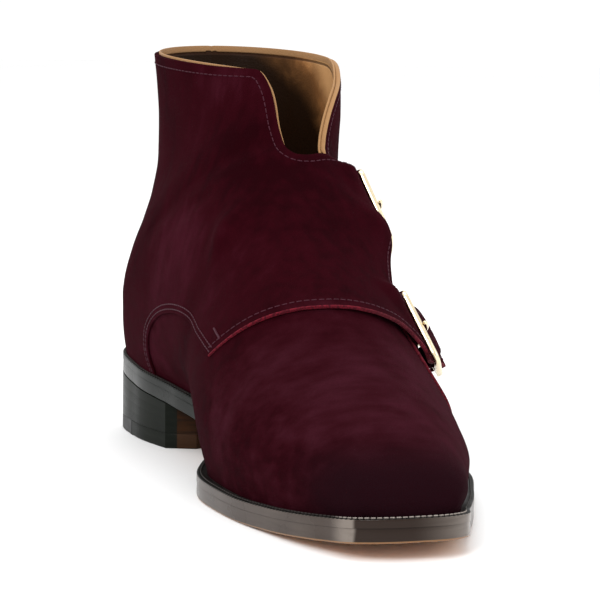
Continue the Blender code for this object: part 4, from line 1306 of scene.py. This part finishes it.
def quarter_floor(places):
    """Height of a quarter's inner face: over the vamp in front, down to the lining behind."""
    over_vamp = 1 - ease(section_of(places)[0], *VAMP_UNDER_QUARTER)
    return QUARTER_DEEP + (QUARTER_LOW - QUARTER_DEEP) * over_vamp


def flap_floor(places):
    """Height of the inner quarter's inner face: on the last, over the outer quarter, and along the
    straps under the buckles' front bars and over their pin bars."""
    t, girth, _ = section_of(places)
    above = ease(t, *WRAP_END)
    height = monotone(*zip(*WRAP), girth) * (1 - above) + quarter_floor(places) * above
    along = np.exp(-(((t - FREE_BULGE_AT) / FREE_BULGE_SPAN) ** 2))
    height = height + FREE_BULGE * (ease(girth, *FREE_BULGE_GIRTH) * along)
    points, normals = on_last(places), LAST.normal(places)
    for name, anchor in STRAPS.items():
        front, _, _, _, out = STRAP_FRAMES[name]
        ahead, down = anchor[0] - points[:, 1], anchor[1] - points[:, 2]
        back = ahead * math.cos(STRAP_SLOPE) + down * math.sin(STRAP_SLOPE)
        aside = ahead * math.sin(STRAP_SLOPE) - down * math.cos(STRAP_SLOPE)
        to_plane = (front - points) @ out / np.maximum(normals @ out, LEAST_FACING)
        over = monotone(*zip(*STRAP_RISE[name]), back)
        if name == "lower":
            over = over - (over - OVER_BAR) * TWIST * ease(-aside, *TWIST_ASIDE) * ease(back, *TWIST_BACK)
        near = ease(back, *STRAP_BACK) * (1 - ease(np.abs(aside), *STRAP_ASIDE)) * ease(girth, *STRAP_GIRTH)
        height = height * (1 - near) + np.maximum(to_plane + over, LEAST_LIFT) * near
        if name == "upper":
            away = (np.stack([back, aside], axis=-1) - PUCKER_AT) / PUCKER_SPREAD
            height = height + PUCKER * np.exp(-(away**2).sum(axis=-1))
    return height


def flap_top(places):
    t, girth, _ = section_of(places)
    thicker = ease(girth, *WRAP_GIRTH) * (1 - ease(t, *WRAP_END))
    whole = QUARTER_HIGH - quarter_floor(places)
    return flap_floor(places) + whole + (FLAP_LEATHER - whole) * thicker


# Soft troughs where the leather gives, each with a low ridge beside it.
CREASES = (
    # t, girth, direction along u, along v, length, width, depth
    (15.8, -0.34, -0.35, 1.0, 34.0, 9.0, 0.55),
    (17.4, -0.42, -0.25, 1.0, 30.0, 8.0, 0.45),
    (14.4, -0.30, -0.55, 1.0, 30.0, 8.0, 0.35),
    (16.6, 0.50, 0.25, 1.0, 32.0, 9.0, 0.50),
    (18.3, 0.52, 0.20, 1.0, 28.0, 8.0, 0.40),
    (9.0, -0.52, 0.30, 1.0, 26.0, 9.0, 0.25),
    (9.2, 0.45, -0.30, 1.0, 24.0, 9.0, 0.25),
)
CREASE_BEND = 0.012


def creased(places):
    """How deep the listed creases press into the leather."""
    depth = np.zeros(len(places))
    for t, girth, along_u, along_v, length, width, deep in CREASES:
        way = np.array([along_u, along_v]) / math.hypot(along_u, along_v)
        offset = places - spot(t, girth)
        along, across = offset @ way, offset @ np.array([-way[1], way[0]])
        bend = across - CREASE_BEND * along**2
        trough = np.exp(-((bend / width * 2) ** 2)) - 0.5 * np.exp(-(((bend - width) / width * 1.6) ** 2))
        depth += deep * trough * np.exp(-((along / length * 2) ** 2))
    return depth


def pressed(height):
    """A height, or a function that gives it, less the creases."""
    return lambda places: (height(places) if callable(height) else height) - creased(places)


def make_vamp():
    """The vamp, which runs on under the quarters behind and into the welt all round."""
    lateral = foot_run(0, VAMP_REAR[0][0], 1, count=70)
    medial = foot_run(VAMP_REAR[-1][0], 0, -1, count=70)
    lateral = np.vstack([lateral[0] + [-SINK, 0], lateral])
    medial = np.vstack([medial, medial[-1] + [-SINK, 0]])
    rear = spots(VAMP_REAR)
    rear[0], rear[-1] = lateral[-1], medial[1]
    toe = np.linspace(medial[-1], lateral[0], 8)
    loop, _ = outline(LAST, [toe, lateral, rear, medial[1:]], 1.5)
    vamp = slab("vamp", LAST, loop, pressed(VAMP_LOW), pressed(VAMP_HIGH), [SUEDE, SUEDE, LINING], 1.5)
    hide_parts("upper")


def flap_runs():
    """The outline of the inner quarter, its wrap-over flap and straps, as runs between corners."""
    v_edge = np.vstack([collar_run(-1, COLLAR_ENDS[0]), spots(V_EDGE)])
    upper_strap, lower_strap = strap_run("upper", TIP), strap_run("lower", TIP)
    root = np.vstack([v_edge[-1:], upper_strap[:1]])
    free_edge = np.vstack([upper_strap[-1:], spots(FREE_EDGE), lower_strap[:1]])
    front_edge = np.vstack([lower_strap[-1:], spots(FRONT_EDGE)])
    hook, foot = spots(HOOK), foot_run(HOOK[-1][0], SEAT_REAR, -1)
    hook[-1] = foot[0]
    seam = foot_run(SEAT_REAR, COLLAR, -1)
    return v_edge, root, upper_strap, free_edge, lower_strap, front_edge, hook, foot, seam


# Material of the flap's edge along each of its runs: turned suede, or a raw cut.
FLAP_WALLS = (0, 0, 1, 1, 1, 1, 0, 0, 0)
# The outer quarter's front edge is a raw cut below this section and shows the lining above it.
RAW_BELOW = 13.5


def make_inner_quarter():
    loop, run = outline(LAST, flap_runs(), 1.3)
    hole = circle(12) * HOLE_RADIUS
    holes = [strap_run(name, hole + (back, 0)) for name in STRAPS for back in HOLE_BACKS]
    panel = slab(
        "inner_quarter_and_flap", LAST, loop, pressed(flap_floor), pressed(flap_top),
        [SUEDE, RAW_EDGE, SUEDE_BACK], 1.4, holes=holes, wall_slots=np.array(FLAP_WALLS)[run],
    )
    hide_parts("upper", "monk_flap")


def outer_runs():
    """The outline of the outer quarter, as runs between corners."""
    edge = np.vstack([spots(OUTER_FRONT), collar_run(COLLAR_ENDS[1], 1)])
    hook, foot = spots(OUTER_HOOK), foot_run(SEAT_REAR, OUTER_HOOK[0][0], 1)
    hook[0], hook[-1] = foot[-1], edge[0]
    return edge, foot_run(COLLAR, SEAT_REAR, 1), foot, hook


def make_outer_quarter():
    loop, run = outline(LAST, outer_runs(), 1.4)
    walls = np.where(run == 0, np.where(section_of(loop)[0] < RAW_BELOW, 1, 2), 0)
    panel = slab(
        "outer_quarter", LAST, loop, pressed(quarter_floor), pressed(QUARTER_HIGH),
        [SUEDE, RAW_EDGE, LINING], 1.5, wall_slots=walls,
    )
    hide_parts("upper")


BACK_STRIP_TOP, BACK_STRIP_FOOT = 5.5, 9.0
BACK_STRIP_LOW, BACK_STRIP_HIGH = 0.3, 1.5


def make_back_strip():
    """The strip of suede that covers the back seam."""
    low, high = back_at([SEAT_REAR, COLLAR]) - (0.5, 0)
    foot, top, waist = BACK_STRIP_FOOT, BACK_STRIP_TOP, ((low + high) / 2, BACK_STRIP_TOP + 0.6)
    runs = (
        [(low, foot), (low, 0.0), (low, -foot)],
        [(low, -foot), (waist[0], -waist[1]), (high, -top)],
        [(high, -top), (high, top)],
        [(high, top), waist, (low, foot)],
    )
    loop, _ = outline(BACK_SEAM, [np.array(run) for run in runs], 1.5)
    low, high = level(BACK_STRIP_LOW), level(BACK_STRIP_HIGH)
    strip = slab("back_strip", BACK_SEAM, loop, low, high, [SUEDE], 1.5)
    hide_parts("upper")


# The lining's edge stands out past the suede.
LINING_LIP = ((1.0, -0.35), (0.85, -0.65), (0.5, -0.75), (0.15, -0.65), (0.0, -0.35))
LINING_TOE = 0.4


def make_lining():
    """The tan lining of the whole upper, which stands a little past the suede at its edges."""
    inner = Ground(on_last, turn=-1.0, steady=within_last)
    v_edge = beside(LAST, smooth_path(spots(V_EDGE[:9]), 4), 0.0)
    edges = [v_edge, spots([(15.3, 0.06)]), spots(OUTER_FRONT[7:])]
    collar = np.vstack([collar_run(-1, COLLAR_ENDS[0]), *edges, collar_run(COLLAR_ENDS[1], 1)])
    down, up = foot_run(COLLAR, SEAT_REAR, 1, 0.0), foot_run(SEAT_REAR, COLLAR, -1, 0.0)
    lateral = foot_run(SEAT_REAR, LINING_TOE, 1, 0.0, 60)
    medial = foot_run(LINING_TOE, SEAT_REAR, -1, 0.0, 60)
    toe = np.vstack([lateral[-1:], medial[:1]])
    loop, run = outline(LAST, [collar, down, lateral, toe, medial, up], 1.6)
    low, high = level(-LINING_OUT), level(-LINING_IN)
    lining = slab("lining", inner, loop, low, high, [LINING], 2.2, edge=LINING_LIP)
    rim = loop[run == 0]
    rim = place(inner.over(rim, np.full(len(rim), -(LINING_OUT + LINING_IN) / 2)))
    record(lining, "to_rim", nearest([vertex.co for vertex in lining.data.vertices], rim) / MM)
    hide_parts("upper")


# ---------------------------------------------------------------- stitches

STITCH_PITCH = 2.6
STITCH_LENGTH = 2.15
THREAD_RADIUS = 0.24


def capsule(length, radius, around=6):
    """A stitch along x about the origin: points and faces."""
    rows = ((-0.46, 0.62), (-0.34, 1.0), (0.34, 1.0), (0.46, 0.62))
    rings = [
        np.column_stack([np.full(around, share * length), circle(around) * radius * swell])
        for share, swell in rows
    ]
    points = np.vstack([(-length / 2, 0, 0), *rings, (length / 2, 0, 0)])
    faces = [tuple(1 + corner for corner in face) for face in bands(len(rows), around)]
    last = len(points) - 1
    for step in range(around):
        following = (step + 1) % around
        faces.append((0, 1 + following, 1 + step))
        faces.append((last, last - around + step, last - around + following))
    return points, faces


def stitch_row(ground, path, height, pitch=STITCH_PITCH, length=STITCH_LENGTH, radius=THREAD_RADIUS):
    """Stitches along a path on a ground, half sunk into the leather: points and faces of each."""
    at = evenly(ground, path, pitch, smooth=False)
    normals = ground.normal((at[:-1] + at[1:]) / 2)
    ends = ground.over(at, height(at))
    centres = (ends[:-1] + ends[1:]) / 2 + normals * radius * 0.15
    ways = unit(np.diff(ends, axis=0))
    turns = np.stack([ways, np.cross(normals, ways), normals], axis=1)
    shape, faces = capsule(length, radius)
    return [(points, faces) for points in centres[:, None] + shape @ turns]


def joined(name, parts, material, smooth_angle=80.0):
    """One piece from many small shapes."""
    faces, count = [], 0
    for points, shape_faces in parts:
        faces += [tuple(corner + count for corner in face) for face in shape_faces]
        count += len(points)
    every = np.vstack([points for points, _ in parts])
    return make_object(name, every, faces, [material], None, smooth_angle)


def in_from(ground, run, distance, towards):
    """A path a distance in from an edge, on the side of a given place."""
    path = evenly(ground, run, 1.0)
    ways = [beside(ground, path, distance), beside(ground, path, -distance)]
    return min(ways, key=lambda way: np.linalg.norm(way[len(path) // 2] - towards))


def strap_line(name, start, end):
    """A straight line on a strap between two places given back and aside."""
    return strap_run(name, np.linspace(start, end, 8))


ON_FLAP, ON_OUTER = (13.0, -0.1), (15.0, 0.55)
SEAMS = (
    # run of the flap's outline, distance in, a place on the flap as t and girth
    (0, 3.6, (18.0, -0.3)),
    (1, 3.2, ON_FLAP),
    (5, 3.6, ON_FLAP),
    (6, 1.5, (16.0, -0.5)),
    (6, 3.4, (16.0, -0.5)),
    (3, 2.6, ON_FLAP),
)
OUTER_SEAMS = (
    # run of the outer quarter's outline, distance in, a place on it, first section sewn
    (0, 2.6, (17.0, 0.6), 15.6),
    (3, 1.5, ON_OUTER, 10.7),
    (3, 3.4, ON_OUTER, 10.9),
)
# The strap's seam as a share of its width, and how far back it turns round the tip.
STRAP_SEAM, STRAP_SEAM_TURN = 0.775, 24.2
TAB_SEAM = ((PIN_BAR_BACK + 6.5, 8.0), (44.8, 8.0), (44.8, -8.0), (PIN_BAR_BACK + 6.5, -8.0))
# The back strip's seams: distance from the middle at the foot, half way up and at the collar.
BACK_STRIP_SEAM = (6.6, 3.9, 3.3)


def make_stitching():
    flap, outer = flap_runs(), outer_runs()
    on_flap, on_outer = pressed(flap_top), pressed(QUARTER_HIGH)
    parts = []
    for run, distance, towards in SEAMS:
        parts += stitch_row(LAST, in_from(LAST, flap[run], distance, spot(*towards)), on_flap)
    for run, distance, towards, first in OUTER_SEAMS:
        path = in_from(LAST, outer[run], distance, spot(*towards))
        parts += stitch_row(LAST, path[section_of(path)[0] > first], on_outer)
    for name in STRAPS:
        rim = [
            (min(back, STRAP_SEAM_TURN) if abs(aside) < 8 else back, aside * STRAP_SEAM)
            for back, aside in TIP
        ]
        parts += stitch_row(LAST, smooth_path(strap_run(name, rim)), on_flap)
        for start, end in zip(TAB_SEAM, TAB_SEAM[1:]):
            parts += stitch_row(LAST, strap_line(name, start, end), level(TAB_HIGH))
    parts += stitch_row(LAST, spots(BAR_TACK), on_flap, pitch=1.3, length=1.5, radius=0.45)
    low, high = back_at([SEAT_REAR + 0.1, COLLAR - 0.1])
    for side in (-1, 1):
        path = np.column_stack([(low, (low + high) / 2, high), side * np.array(BACK_STRIP_SEAM)])
        parts += stitch_row(BACK_SEAM, smooth_path(path), level(BACK_STRIP_HIGH))
    stitching = joined("stitching", parts, STITCHING)


# ---------------------------------------------------------------- straps' buckles and tabs


def in_buckle(name, steps):
    """Points given back, up and out from the middle of a buckle's front bar."""
    front, _, back, up, out = STRAP_FRAMES[name]
    return front + np.asarray(steps, float) @ np.array([back, up, out])


def rounded_rectangle(low, high, half, corner, steps=6):
    """A rectangle with round corners, given back and up."""
    points = []
    for quarter in range(4):
        middle_back = low + corner if quarter in (1, 2) else high - corner
        middle_up = half - corner if quarter < 2 else corner - half
        for step in range(steps + 1):
            angle = math.pi / 2 * (quarter + step / steps)
            points.append((middle_back + corner * math.cos(angle), middle_up + corner * math.sin(angle)))
    return np.array(points)


# Cross-section of a buckle's frame: share of the way in, height over half its thickness.
BUCKLE_SECTION = (
    (0.0, -0.50), (0.0, 0.70), (0.06, 1.20), (0.22, 1.50), (0.5, 1.62), (0.78, 1.50), (0.94, 1.20),
    (1.0, 0.70), (1.0, -0.50), (0.92, -0.85), (0.5, -0.95), (0.08, -0.85),
)
BUCKLE_BOW = 0.3
PRONG_HOOK = 1.9
PRONG_RADII = (
    # share of the length, radius
    (0, 0.95), (0.35, 0.95), (0.6, 1.05), (0.93, 0.8), (0.98, 0.6), (1, 0.2),
)


def bar_reach(name):
    """How far back a buckle's pin bar lies."""
    front, pin, *_ = STRAP_FRAMES[name]
    return np.linalg.norm(pin - front)


def make_buckle(name):
    """A flat frame with a broad front bar, softly rounded all round."""
    reach, half = bar_reach(name), BUCKLE_HEIGHT / 2
    outer = rounded_rectangle(-BUCKLE_BAR / 2 - 0.3, reach + BUCKLE_BAR / 2, half, BUCKLE_CORNER)
    inner = rounded_rectangle(BUCKLE_BAR / 2 + 0.4, reach - 1.0, half - 2.6, 1.2)
    rings = []
    for share, rise in BUCKLE_SECTION:
        flat = outer * (1 - share) + inner * share
        bow = BUCKLE_BOW * (1 - (flat[:, 1] / half) ** 2)
        rings.append(in_buckle(name, np.column_stack([flat, bow + rise * BUCKLE_THICKNESS / 2])))
    buckle = wreath(f"{name}_buckle", rings, [GOLD], smooth_angle=50)
    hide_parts(f"{name}_buckle_frame")


def tube(path, radii, around=12):
    """A round bar of changing radius along a path of points, closed at both ends: points and faces."""
    side, rings = np.array([0.3, 0.5, 0.81]), []
    side = unit(np.cross(path[1] - path[0], side))
    for at, way, radius in zip(path, unit(np.gradient(path, axis=0)), radii):
        side = unit(side - way * np.dot(side, way))
        rings.append(at + radius * circle(around) @ [side, np.cross(way, side)])
    return barrel(rings)


def make_prong(name):
    """The tapered prong: it hooks round the pin bar, comes up through the hole and rests on the front bar."""
    reach, rise = bar_reach(name), BUCKLE_THICKNESS / 2 + 1.45
    turns = np.linspace(1.1, -2.2, 7)[:-1]
    hook = np.column_stack([reach + PRONG_HOOK * np.cos(turns), 0 * turns, PRONG_HOOK * np.sin(turns)])
    along = [
        (reach - PRONG_HOOK, 0, -1.0), (reach - 4.0, 0, -0.3), (8.6, 0, 0.9), (5.0, 0, rise + 0.3),
        (1.5, 0, rise + 0.35), (-0.6, 0, rise + 0.25), (-1.9, 0, rise - 0.2),
    ]
    route = smooth_path(np.vstack([hook, along]), 4)
    radii = np.interp(np.linspace(0, 1, len(route)), *zip(*PRONG_RADII))
    prong = joined(f"{name}_prong", [tube(in_buckle(name, route), radii)], GOLD, 60)
    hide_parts(f"{name}_buckle_prong")


TAB_CORNER = 3.5
TAB_LOOP_RADII = (1.35, 2.45)
TAB_SLIT = 2.2


def make_tab(name):
    """The strip of suede that holds the pin bar: it wraps the bar in two loops and is sewn to the outer
    quarter."""
    start, end = PIN_BAR_BACK - 1.0, PIN_BAR_BACK - 3.5 + TAB_LENGTH
    half, bend = TAB_WIDTH / 2, end - TAB_CORNER
    turns = np.radians([90, 60, 30, 0])
    corner = (bend, half) + (1 - np.stack([np.cos(turns), np.sin(turns)], axis=1)) * (TAB_CORNER, -TAB_CORNER)
    rim = [
        strap_line(name, (start, -half), (start, half)),
        strap_line(name, (start, half), (bend, half)),
        strap_run(name, corner),
        strap_line(name, (end, half - TAB_CORNER), (end, TAB_CORNER - half)),
        strap_run(name, corner[::-1] * (1, -1)),
        strap_line(name, (bend, -half), (start, -half)),
    ]
    loop, _ = outline(LAST, rim, 1.3)
    tab = slab(f"{name}_tab", LAST, loop, level(TAB_LOW), level(TAB_HIGH), [SUEDE, RAW_EDGE], 1.5)
    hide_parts(f"{name}_buckle_tab")
    inner, outer = TAB_LOOP_RADII
    for number, (low, high) in enumerate(((-half, -TAB_SLIT), (TAB_SLIT, half)), 1):
        rings = []
        for up, radius in ((low, inner), (low, outer), (high, outer), (high, inner)):
            across, out = (circle(20) * radius).T
            rings.append(in_buckle(name, np.stack([bar_reach(name) + across, 0 * out + up, out], axis=1)))
        wrap = wreath(f"{name}_tab_loop_{number}", rings, [SUEDE])
        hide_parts(f"{name}_buckle_tab")


# ---------------------------------------------------------------- sole, welt, heel and insole


def plan(height, turn=1.0):
    """A ground over the floor plan: u is x and v is s, at a height that changes along the boot."""
    return Ground(
        lambda places: np.stack([places[..., 0], places[..., 1], height(places[..., 1])], axis=-1), turn
    )


def flat(height):
    return lambda s: np.full(np.shape(s), float(height))


# The welt's upper side is pressed with fine notches, one to a stitch.
NOTCH_PITCH = 2.1
NOTCH_STEPS = 6
NOTCH_DEPTH = 0.32
# The welt's wall runs this far down over the outsole's joint.
WELT_LAP = 0.35
WELT_ROWS = (
    # inset, share of the margin, height over the welt's top, depth of notch
    (0.0, 0.0, -WELT_THICKNESS - WELT_LAP, 0.0), (0.0, 0.0, -1.2, 0.0),
    (0.0, 0.0, -0.55, 0.1), (0.12, 0.0, -0.22, 0.5), (0.4, 0.0, -0.03, 1.0),
    (0.0, 0.35, 0.0, 1.0), (0.0, 0.7, 0.0, 0.7), (0.0, 0.95, 0.0, 0.0), (1.2, 1.0, 0.0, 0.0),
    (1.2, 1.0, -WELT_THICKNESS - WELT_LAP, 0.0),
)
WELT_STITCH = (NOTCH_PITCH, 1.75, 0.30)
WELT_STITCH_SHARE = 0.45
SOLE_EDGE = ((1.0, 0.7), (0.975, 0.35), (0.93, 0.10), (0.86, 0.0), (0.14, 0.0), (0.05, 0.03), (0.0, 0.6))


def make_welt():
    """The welt: flush with the sole, its upper side pressed with fine notches."""
    loop = resampled(OUTLINE, NOTCH_PITCH / NOTCH_STEPS)
    beat = np.cos(2 * math.pi * np.arange(len(loop)) / NOTCH_STEPS) * 0.5 + 0.5
    rings = []
    for inset, share, rise, notch in WELT_ROWS:
        ring = drawn_in(loop, inset + share * feather_margin(loop[:, 1]))
        height = welt_top(ring[:, 1]) + rise - NOTCH_DEPTH * notch * beat
        rings.append(np.column_stack([ring, height]))
    slots = [int(rise > -0.3 and share < 1) for _, share, rise, _ in WELT_ROWS]
    welt = wreath("welt_strip", rings, [DRESSED_EDGE, WELT_TOP], slots, smooth_angle=50)
    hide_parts("welt")
    path = resampled(OUTLINE, 0.7)
    path = drawn_in(path, WELT_STITCH_SHARE * feather_margin(path[:, 1]))
    seam = stitch_row(plan(welt_top), np.vstack([path, path[:1]]), level(0.04), *WELT_STITCH)
    stitches = joined("welt_stitching", seam, WELT_STITCHING)


def make_outsole():
    under, loop = plan(sole_bottom, turn=-1.0), resampled(OUTLINE, 1.0)
    sole = slab(
        "leather_outsole", under, loop, level(-OUTSOLE_THICKNESS - 0.12), level(0),
        [SOLE_FACE, DRESSED_EDGE, SOLE_FACE], 2.4, edge=SOLE_EDGE, rings=3,
    )
    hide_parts("outsole")


# Share of the notch's wall that is finished like the breast.
BREAST_WRAP = 0.62
HEEL_LIFTS = 4
LIFT_GROOVE = 0.02
TOP_PIECE_EDGE = ((1.0, 0.5), (0.96, 0.12), (0.90, 0.0), (0.02, 0.0), (0.0, 0.1))


def heel_loop(rear, front):
    """Outline of the heel between two stations with its hollow breast and notched inner corner, and which
    of its steps belong to the breast."""
    around = OUTLINE[::2]
    inner_waist = np.argmin(np.abs(around[:, 1] - HEEL_LENGTH - 30) + SOLE_LENGTH * (around[:, 0] > 0))
    around = np.roll(around, -inner_waist, axis=0)
    notch = HEEL_LENGTH - NOTCH_LENGTH
    kept = around[(around[:, 1] > rear) & (around[:, 1] < min(front, notch))]
    if front < HEEL_LENGTH:
        loop = np.vstack([kept, *[(edge_x(OUTLINE, front, side), front) for side in (1, -1)]])
        return loop, np.zeros(len(loop), bool)
    corner = np.array([edge_x(OUTLINE, notch, -1), notch])
    x = np.linspace(edge_x(OUTLINE, front, 1), corner[0] + NOTCH_WIDTH, 33)
    share = (x - (x[0] + x[-1]) / 2) / ((x[0] - x[-1]) / 2)
    breast = np.stack([x, front - BREAST_HOLLOW * (1 - share**2)], axis=1)
    turn = breast[-1] + (corner - breast[-1]) * BREAST_WRAP
    loop = np.vstack([kept, breast, turn, corner])
    step = np.arange(len(loop)) - len(kept)
    return loop, (step >= 0) & (step < len(breast))


def lift_edge(lifts):
    """Cross-section of a pile of lifts: a fine groove where two of them meet."""
    rows = [(1.0, 0.10), (0.995, 0.0)]
    for share in np.arange(lifts - 1, 0, -1) / lifts:
        rows += [(share + 0.012, 0.0), (share, LIFT_GROOVE), (share - 0.012, 0.0)]
    return (*rows, (0.005, 0.0), (0.0, 0.10))


def heel_piece(name, ground, rear, front, low, high, face, wall, pitch, edge):
    loop, on_breast = heel_loop(rear, front)
    walls, slots = np.where(on_breast, 3, 1), [face, wall, wall, HEEL_BREAST]
    return slab(name, ground, loop, low, high, slots, pitch, edge=edge, wall_slots=walls)


def make_heel():
    """The heel's stack of lifts and, under it, the top piece in its two parts."""
    foot, gap = TOP_PIECE_THICKNESS + GAP / 3, GAP / 3
    stack = heel_piece(
        "heel_lifts", plan(flat(foot)), -1, HEEL_LENGTH, level(0),
        lambda places: sole_bottom(places[:, 1]) - gap - foot,
        HEEL_SIDE, HEEL_SIDE, 4.0, lift_edge(HEEL_LIFTS),
    )
    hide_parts("heel_stack")
    for name, node, rear, front, face, wall, slot in (
        ("rubber_top_piece", "top_piece_rubber", -1, RUBBER_LENGTH, RUBBER, RUBBER, "rubber"),
        ("leather_top_piece", "top_piece_leather", RUBBER_LENGTH + GAP, HEEL_LENGTH, SOLE_FACE, HEEL_SIDE,
         "sole_leather"),
    ):
        piece = heel_piece(
            name, plan(flat(0), turn=-1.0), rear, front, level(-TOP_PIECE_THICKNESS), level(0), face, wall,
            3.0, TOP_PIECE_EDGE,
        )
        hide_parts(node)


def make_sock():
    """The tan sock that covers the insole inside the boot."""
    margin = feather_margin(OUTLINE[:, 1]) + WALL + INSOLE_MARGIN - 0.8
    loop = resampled(drawn_in(OUTLINE, margin), 2.0)
    low = level(-INSOLE_THICKNESS + 0.1)
    sock = slab("insole_and_sock", plan(insole_top), loop, low, level(0.0), [SOCK], 3.0)
    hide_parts("insole")


NAIL_CLUSTERS = (
    # three nails each: x, s
    ((-11.5, 302.4), (-16.4, 296.0), (-21.8, 300.2)),
    ((45.1, 179.0), (44.4, 170.2), (38.9, 175.7)),
    ((-40.1, 179.7), (-46.6, 180.7), (-42.8, 172.7)),
    ((30.0, 73.6), (31.0, 64.1), (24.5, 68.5)),
    ((-19.2, 68.4), (-25.9, 73.7), (-25.9, 65.0)),
)
NAIL_RADIUS = 1.1
NAIL_PROUD = 0.12
NAIL_SECTION = (
    # share of the radius, height over how far it stands proud
    (0.35, 0.5), (1.0, 0.5), (1.0, -0.3), (0.8, -0.85), (0.35, -1.0),
)


def nail_head(x, s):
    """A flat nail head, set almost flush into the underside: points and faces."""
    under = 0.0 if s < HEEL_LENGTH else float(sole_bottom(s))
    rings = []
    for swell, depth in NAIL_SECTION:
        ring = circle(16) * NAIL_RADIUS * swell + (x, s)
        rings.append(np.column_stack([ring, np.full(16, under + NAIL_PROUD * depth)]))
    return barrel(rings)


def make_nails():
    nails = joined("sole_nails", [nail_head(*at) for cluster in NAIL_CLUSTERS for at in cluster], NAIL, 50)


# ---------------------------------------------------------------- room, light and camera

CAMERA_AT = (-330.9, 1109.0, 182.4)
CAMERA_AIM = (0.0, 146.55, 66.53)
CAMERA_ROLL = math.radians(-0.67)
LENS = 163.0
LIGHTS = (
    # name, place, height aimed at, size, power
    ("key", (-1.1, -1.0, 1.3), 0.08, 0.9, 16),
    ("fill", (1.3, -0.9, 0.9), 0.06, 1.0, 7),
    ("top", (0.0, 0.3, 1.8), 0.0, 1.4, 10),
)
SKY = 1.06
FLOOR_RADIUS = 6.0


def make_camera():
    at, aim = Vector(place(CAMERA_AT)), Vector(place(CAMERA_AIM))
    way = (aim - at).normalized()
    right = way.cross(Vector((0, 0, 1))).normalized()
    up = right.cross(way) * math.cos(CAMERA_ROLL) + right * math.sin(CAMERA_ROLL)
    data = bpy.data.cameras.new("camera")
    data.sensor_width, data.lens = 36, LENS
    data.clip_start, data.clip_end = 0.05, 50
    camera = linked("camera", data)
    turn = Matrix((way.cross(up), up, -way)).transposed()
    camera.matrix_world = Matrix.Translation(at) @ turn.to_4x4()
    bpy.context.scene.camera = camera


def make_room():
    mesh = bpy.data.meshes.new("floor")
    work = bmesh.new()
    bmesh.ops.create_circle(work, cap_ends=True, segments=96, radius=FLOOR_RADIUS)
    work.to_mesh(mesh)
    work.free()
    linked("floor", mesh)
    paper = Finish("white_floor", Roughness=0.6, Specular_IOR_Level=0.3)
    paper.set(Base_Color=paper.tint(FLOOR_WHITE, FLOOR_WHITER, paper.noise(400, detail=1), 0.3, 0.7))
    mesh.materials.append(paper.material)
    world = bpy.data.worlds.new("studio")
    world.use_nodes = True
    background = world.node_tree.nodes["Background"].inputs
    background["Color"].default_value = (1, 1, 1, 1)
    background["Strength"].default_value = SKY
    bpy.context.scene.world = world
    for name, at, height, size, power in LIGHTS:
        data = bpy.data.lights.new(name, "AREA")
        data.shape = "RECTANGLE"
        data.size = data.size_y = size
        data.energy = power
        light = linked(name, data)
        light.location = at
        light.rotation_euler = (Vector((0, 0, height)) - Vector(at)).to_track_quat("-Z", "Y").to_euler()
    bpy.context.scene.view_settings.view_transform = "Standard"


make_camera()
make_room()
make_vamp()
make_inner_quarter()
make_outer_quarter()
make_back_strip()
make_lining()
make_stitching()
for strap in STRAPS:
    make_tab(strap)
    make_buckle(strap)
    make_prong(strap)
make_welt()
make_outsole()
make_heel()
make_sock()
make_nails()
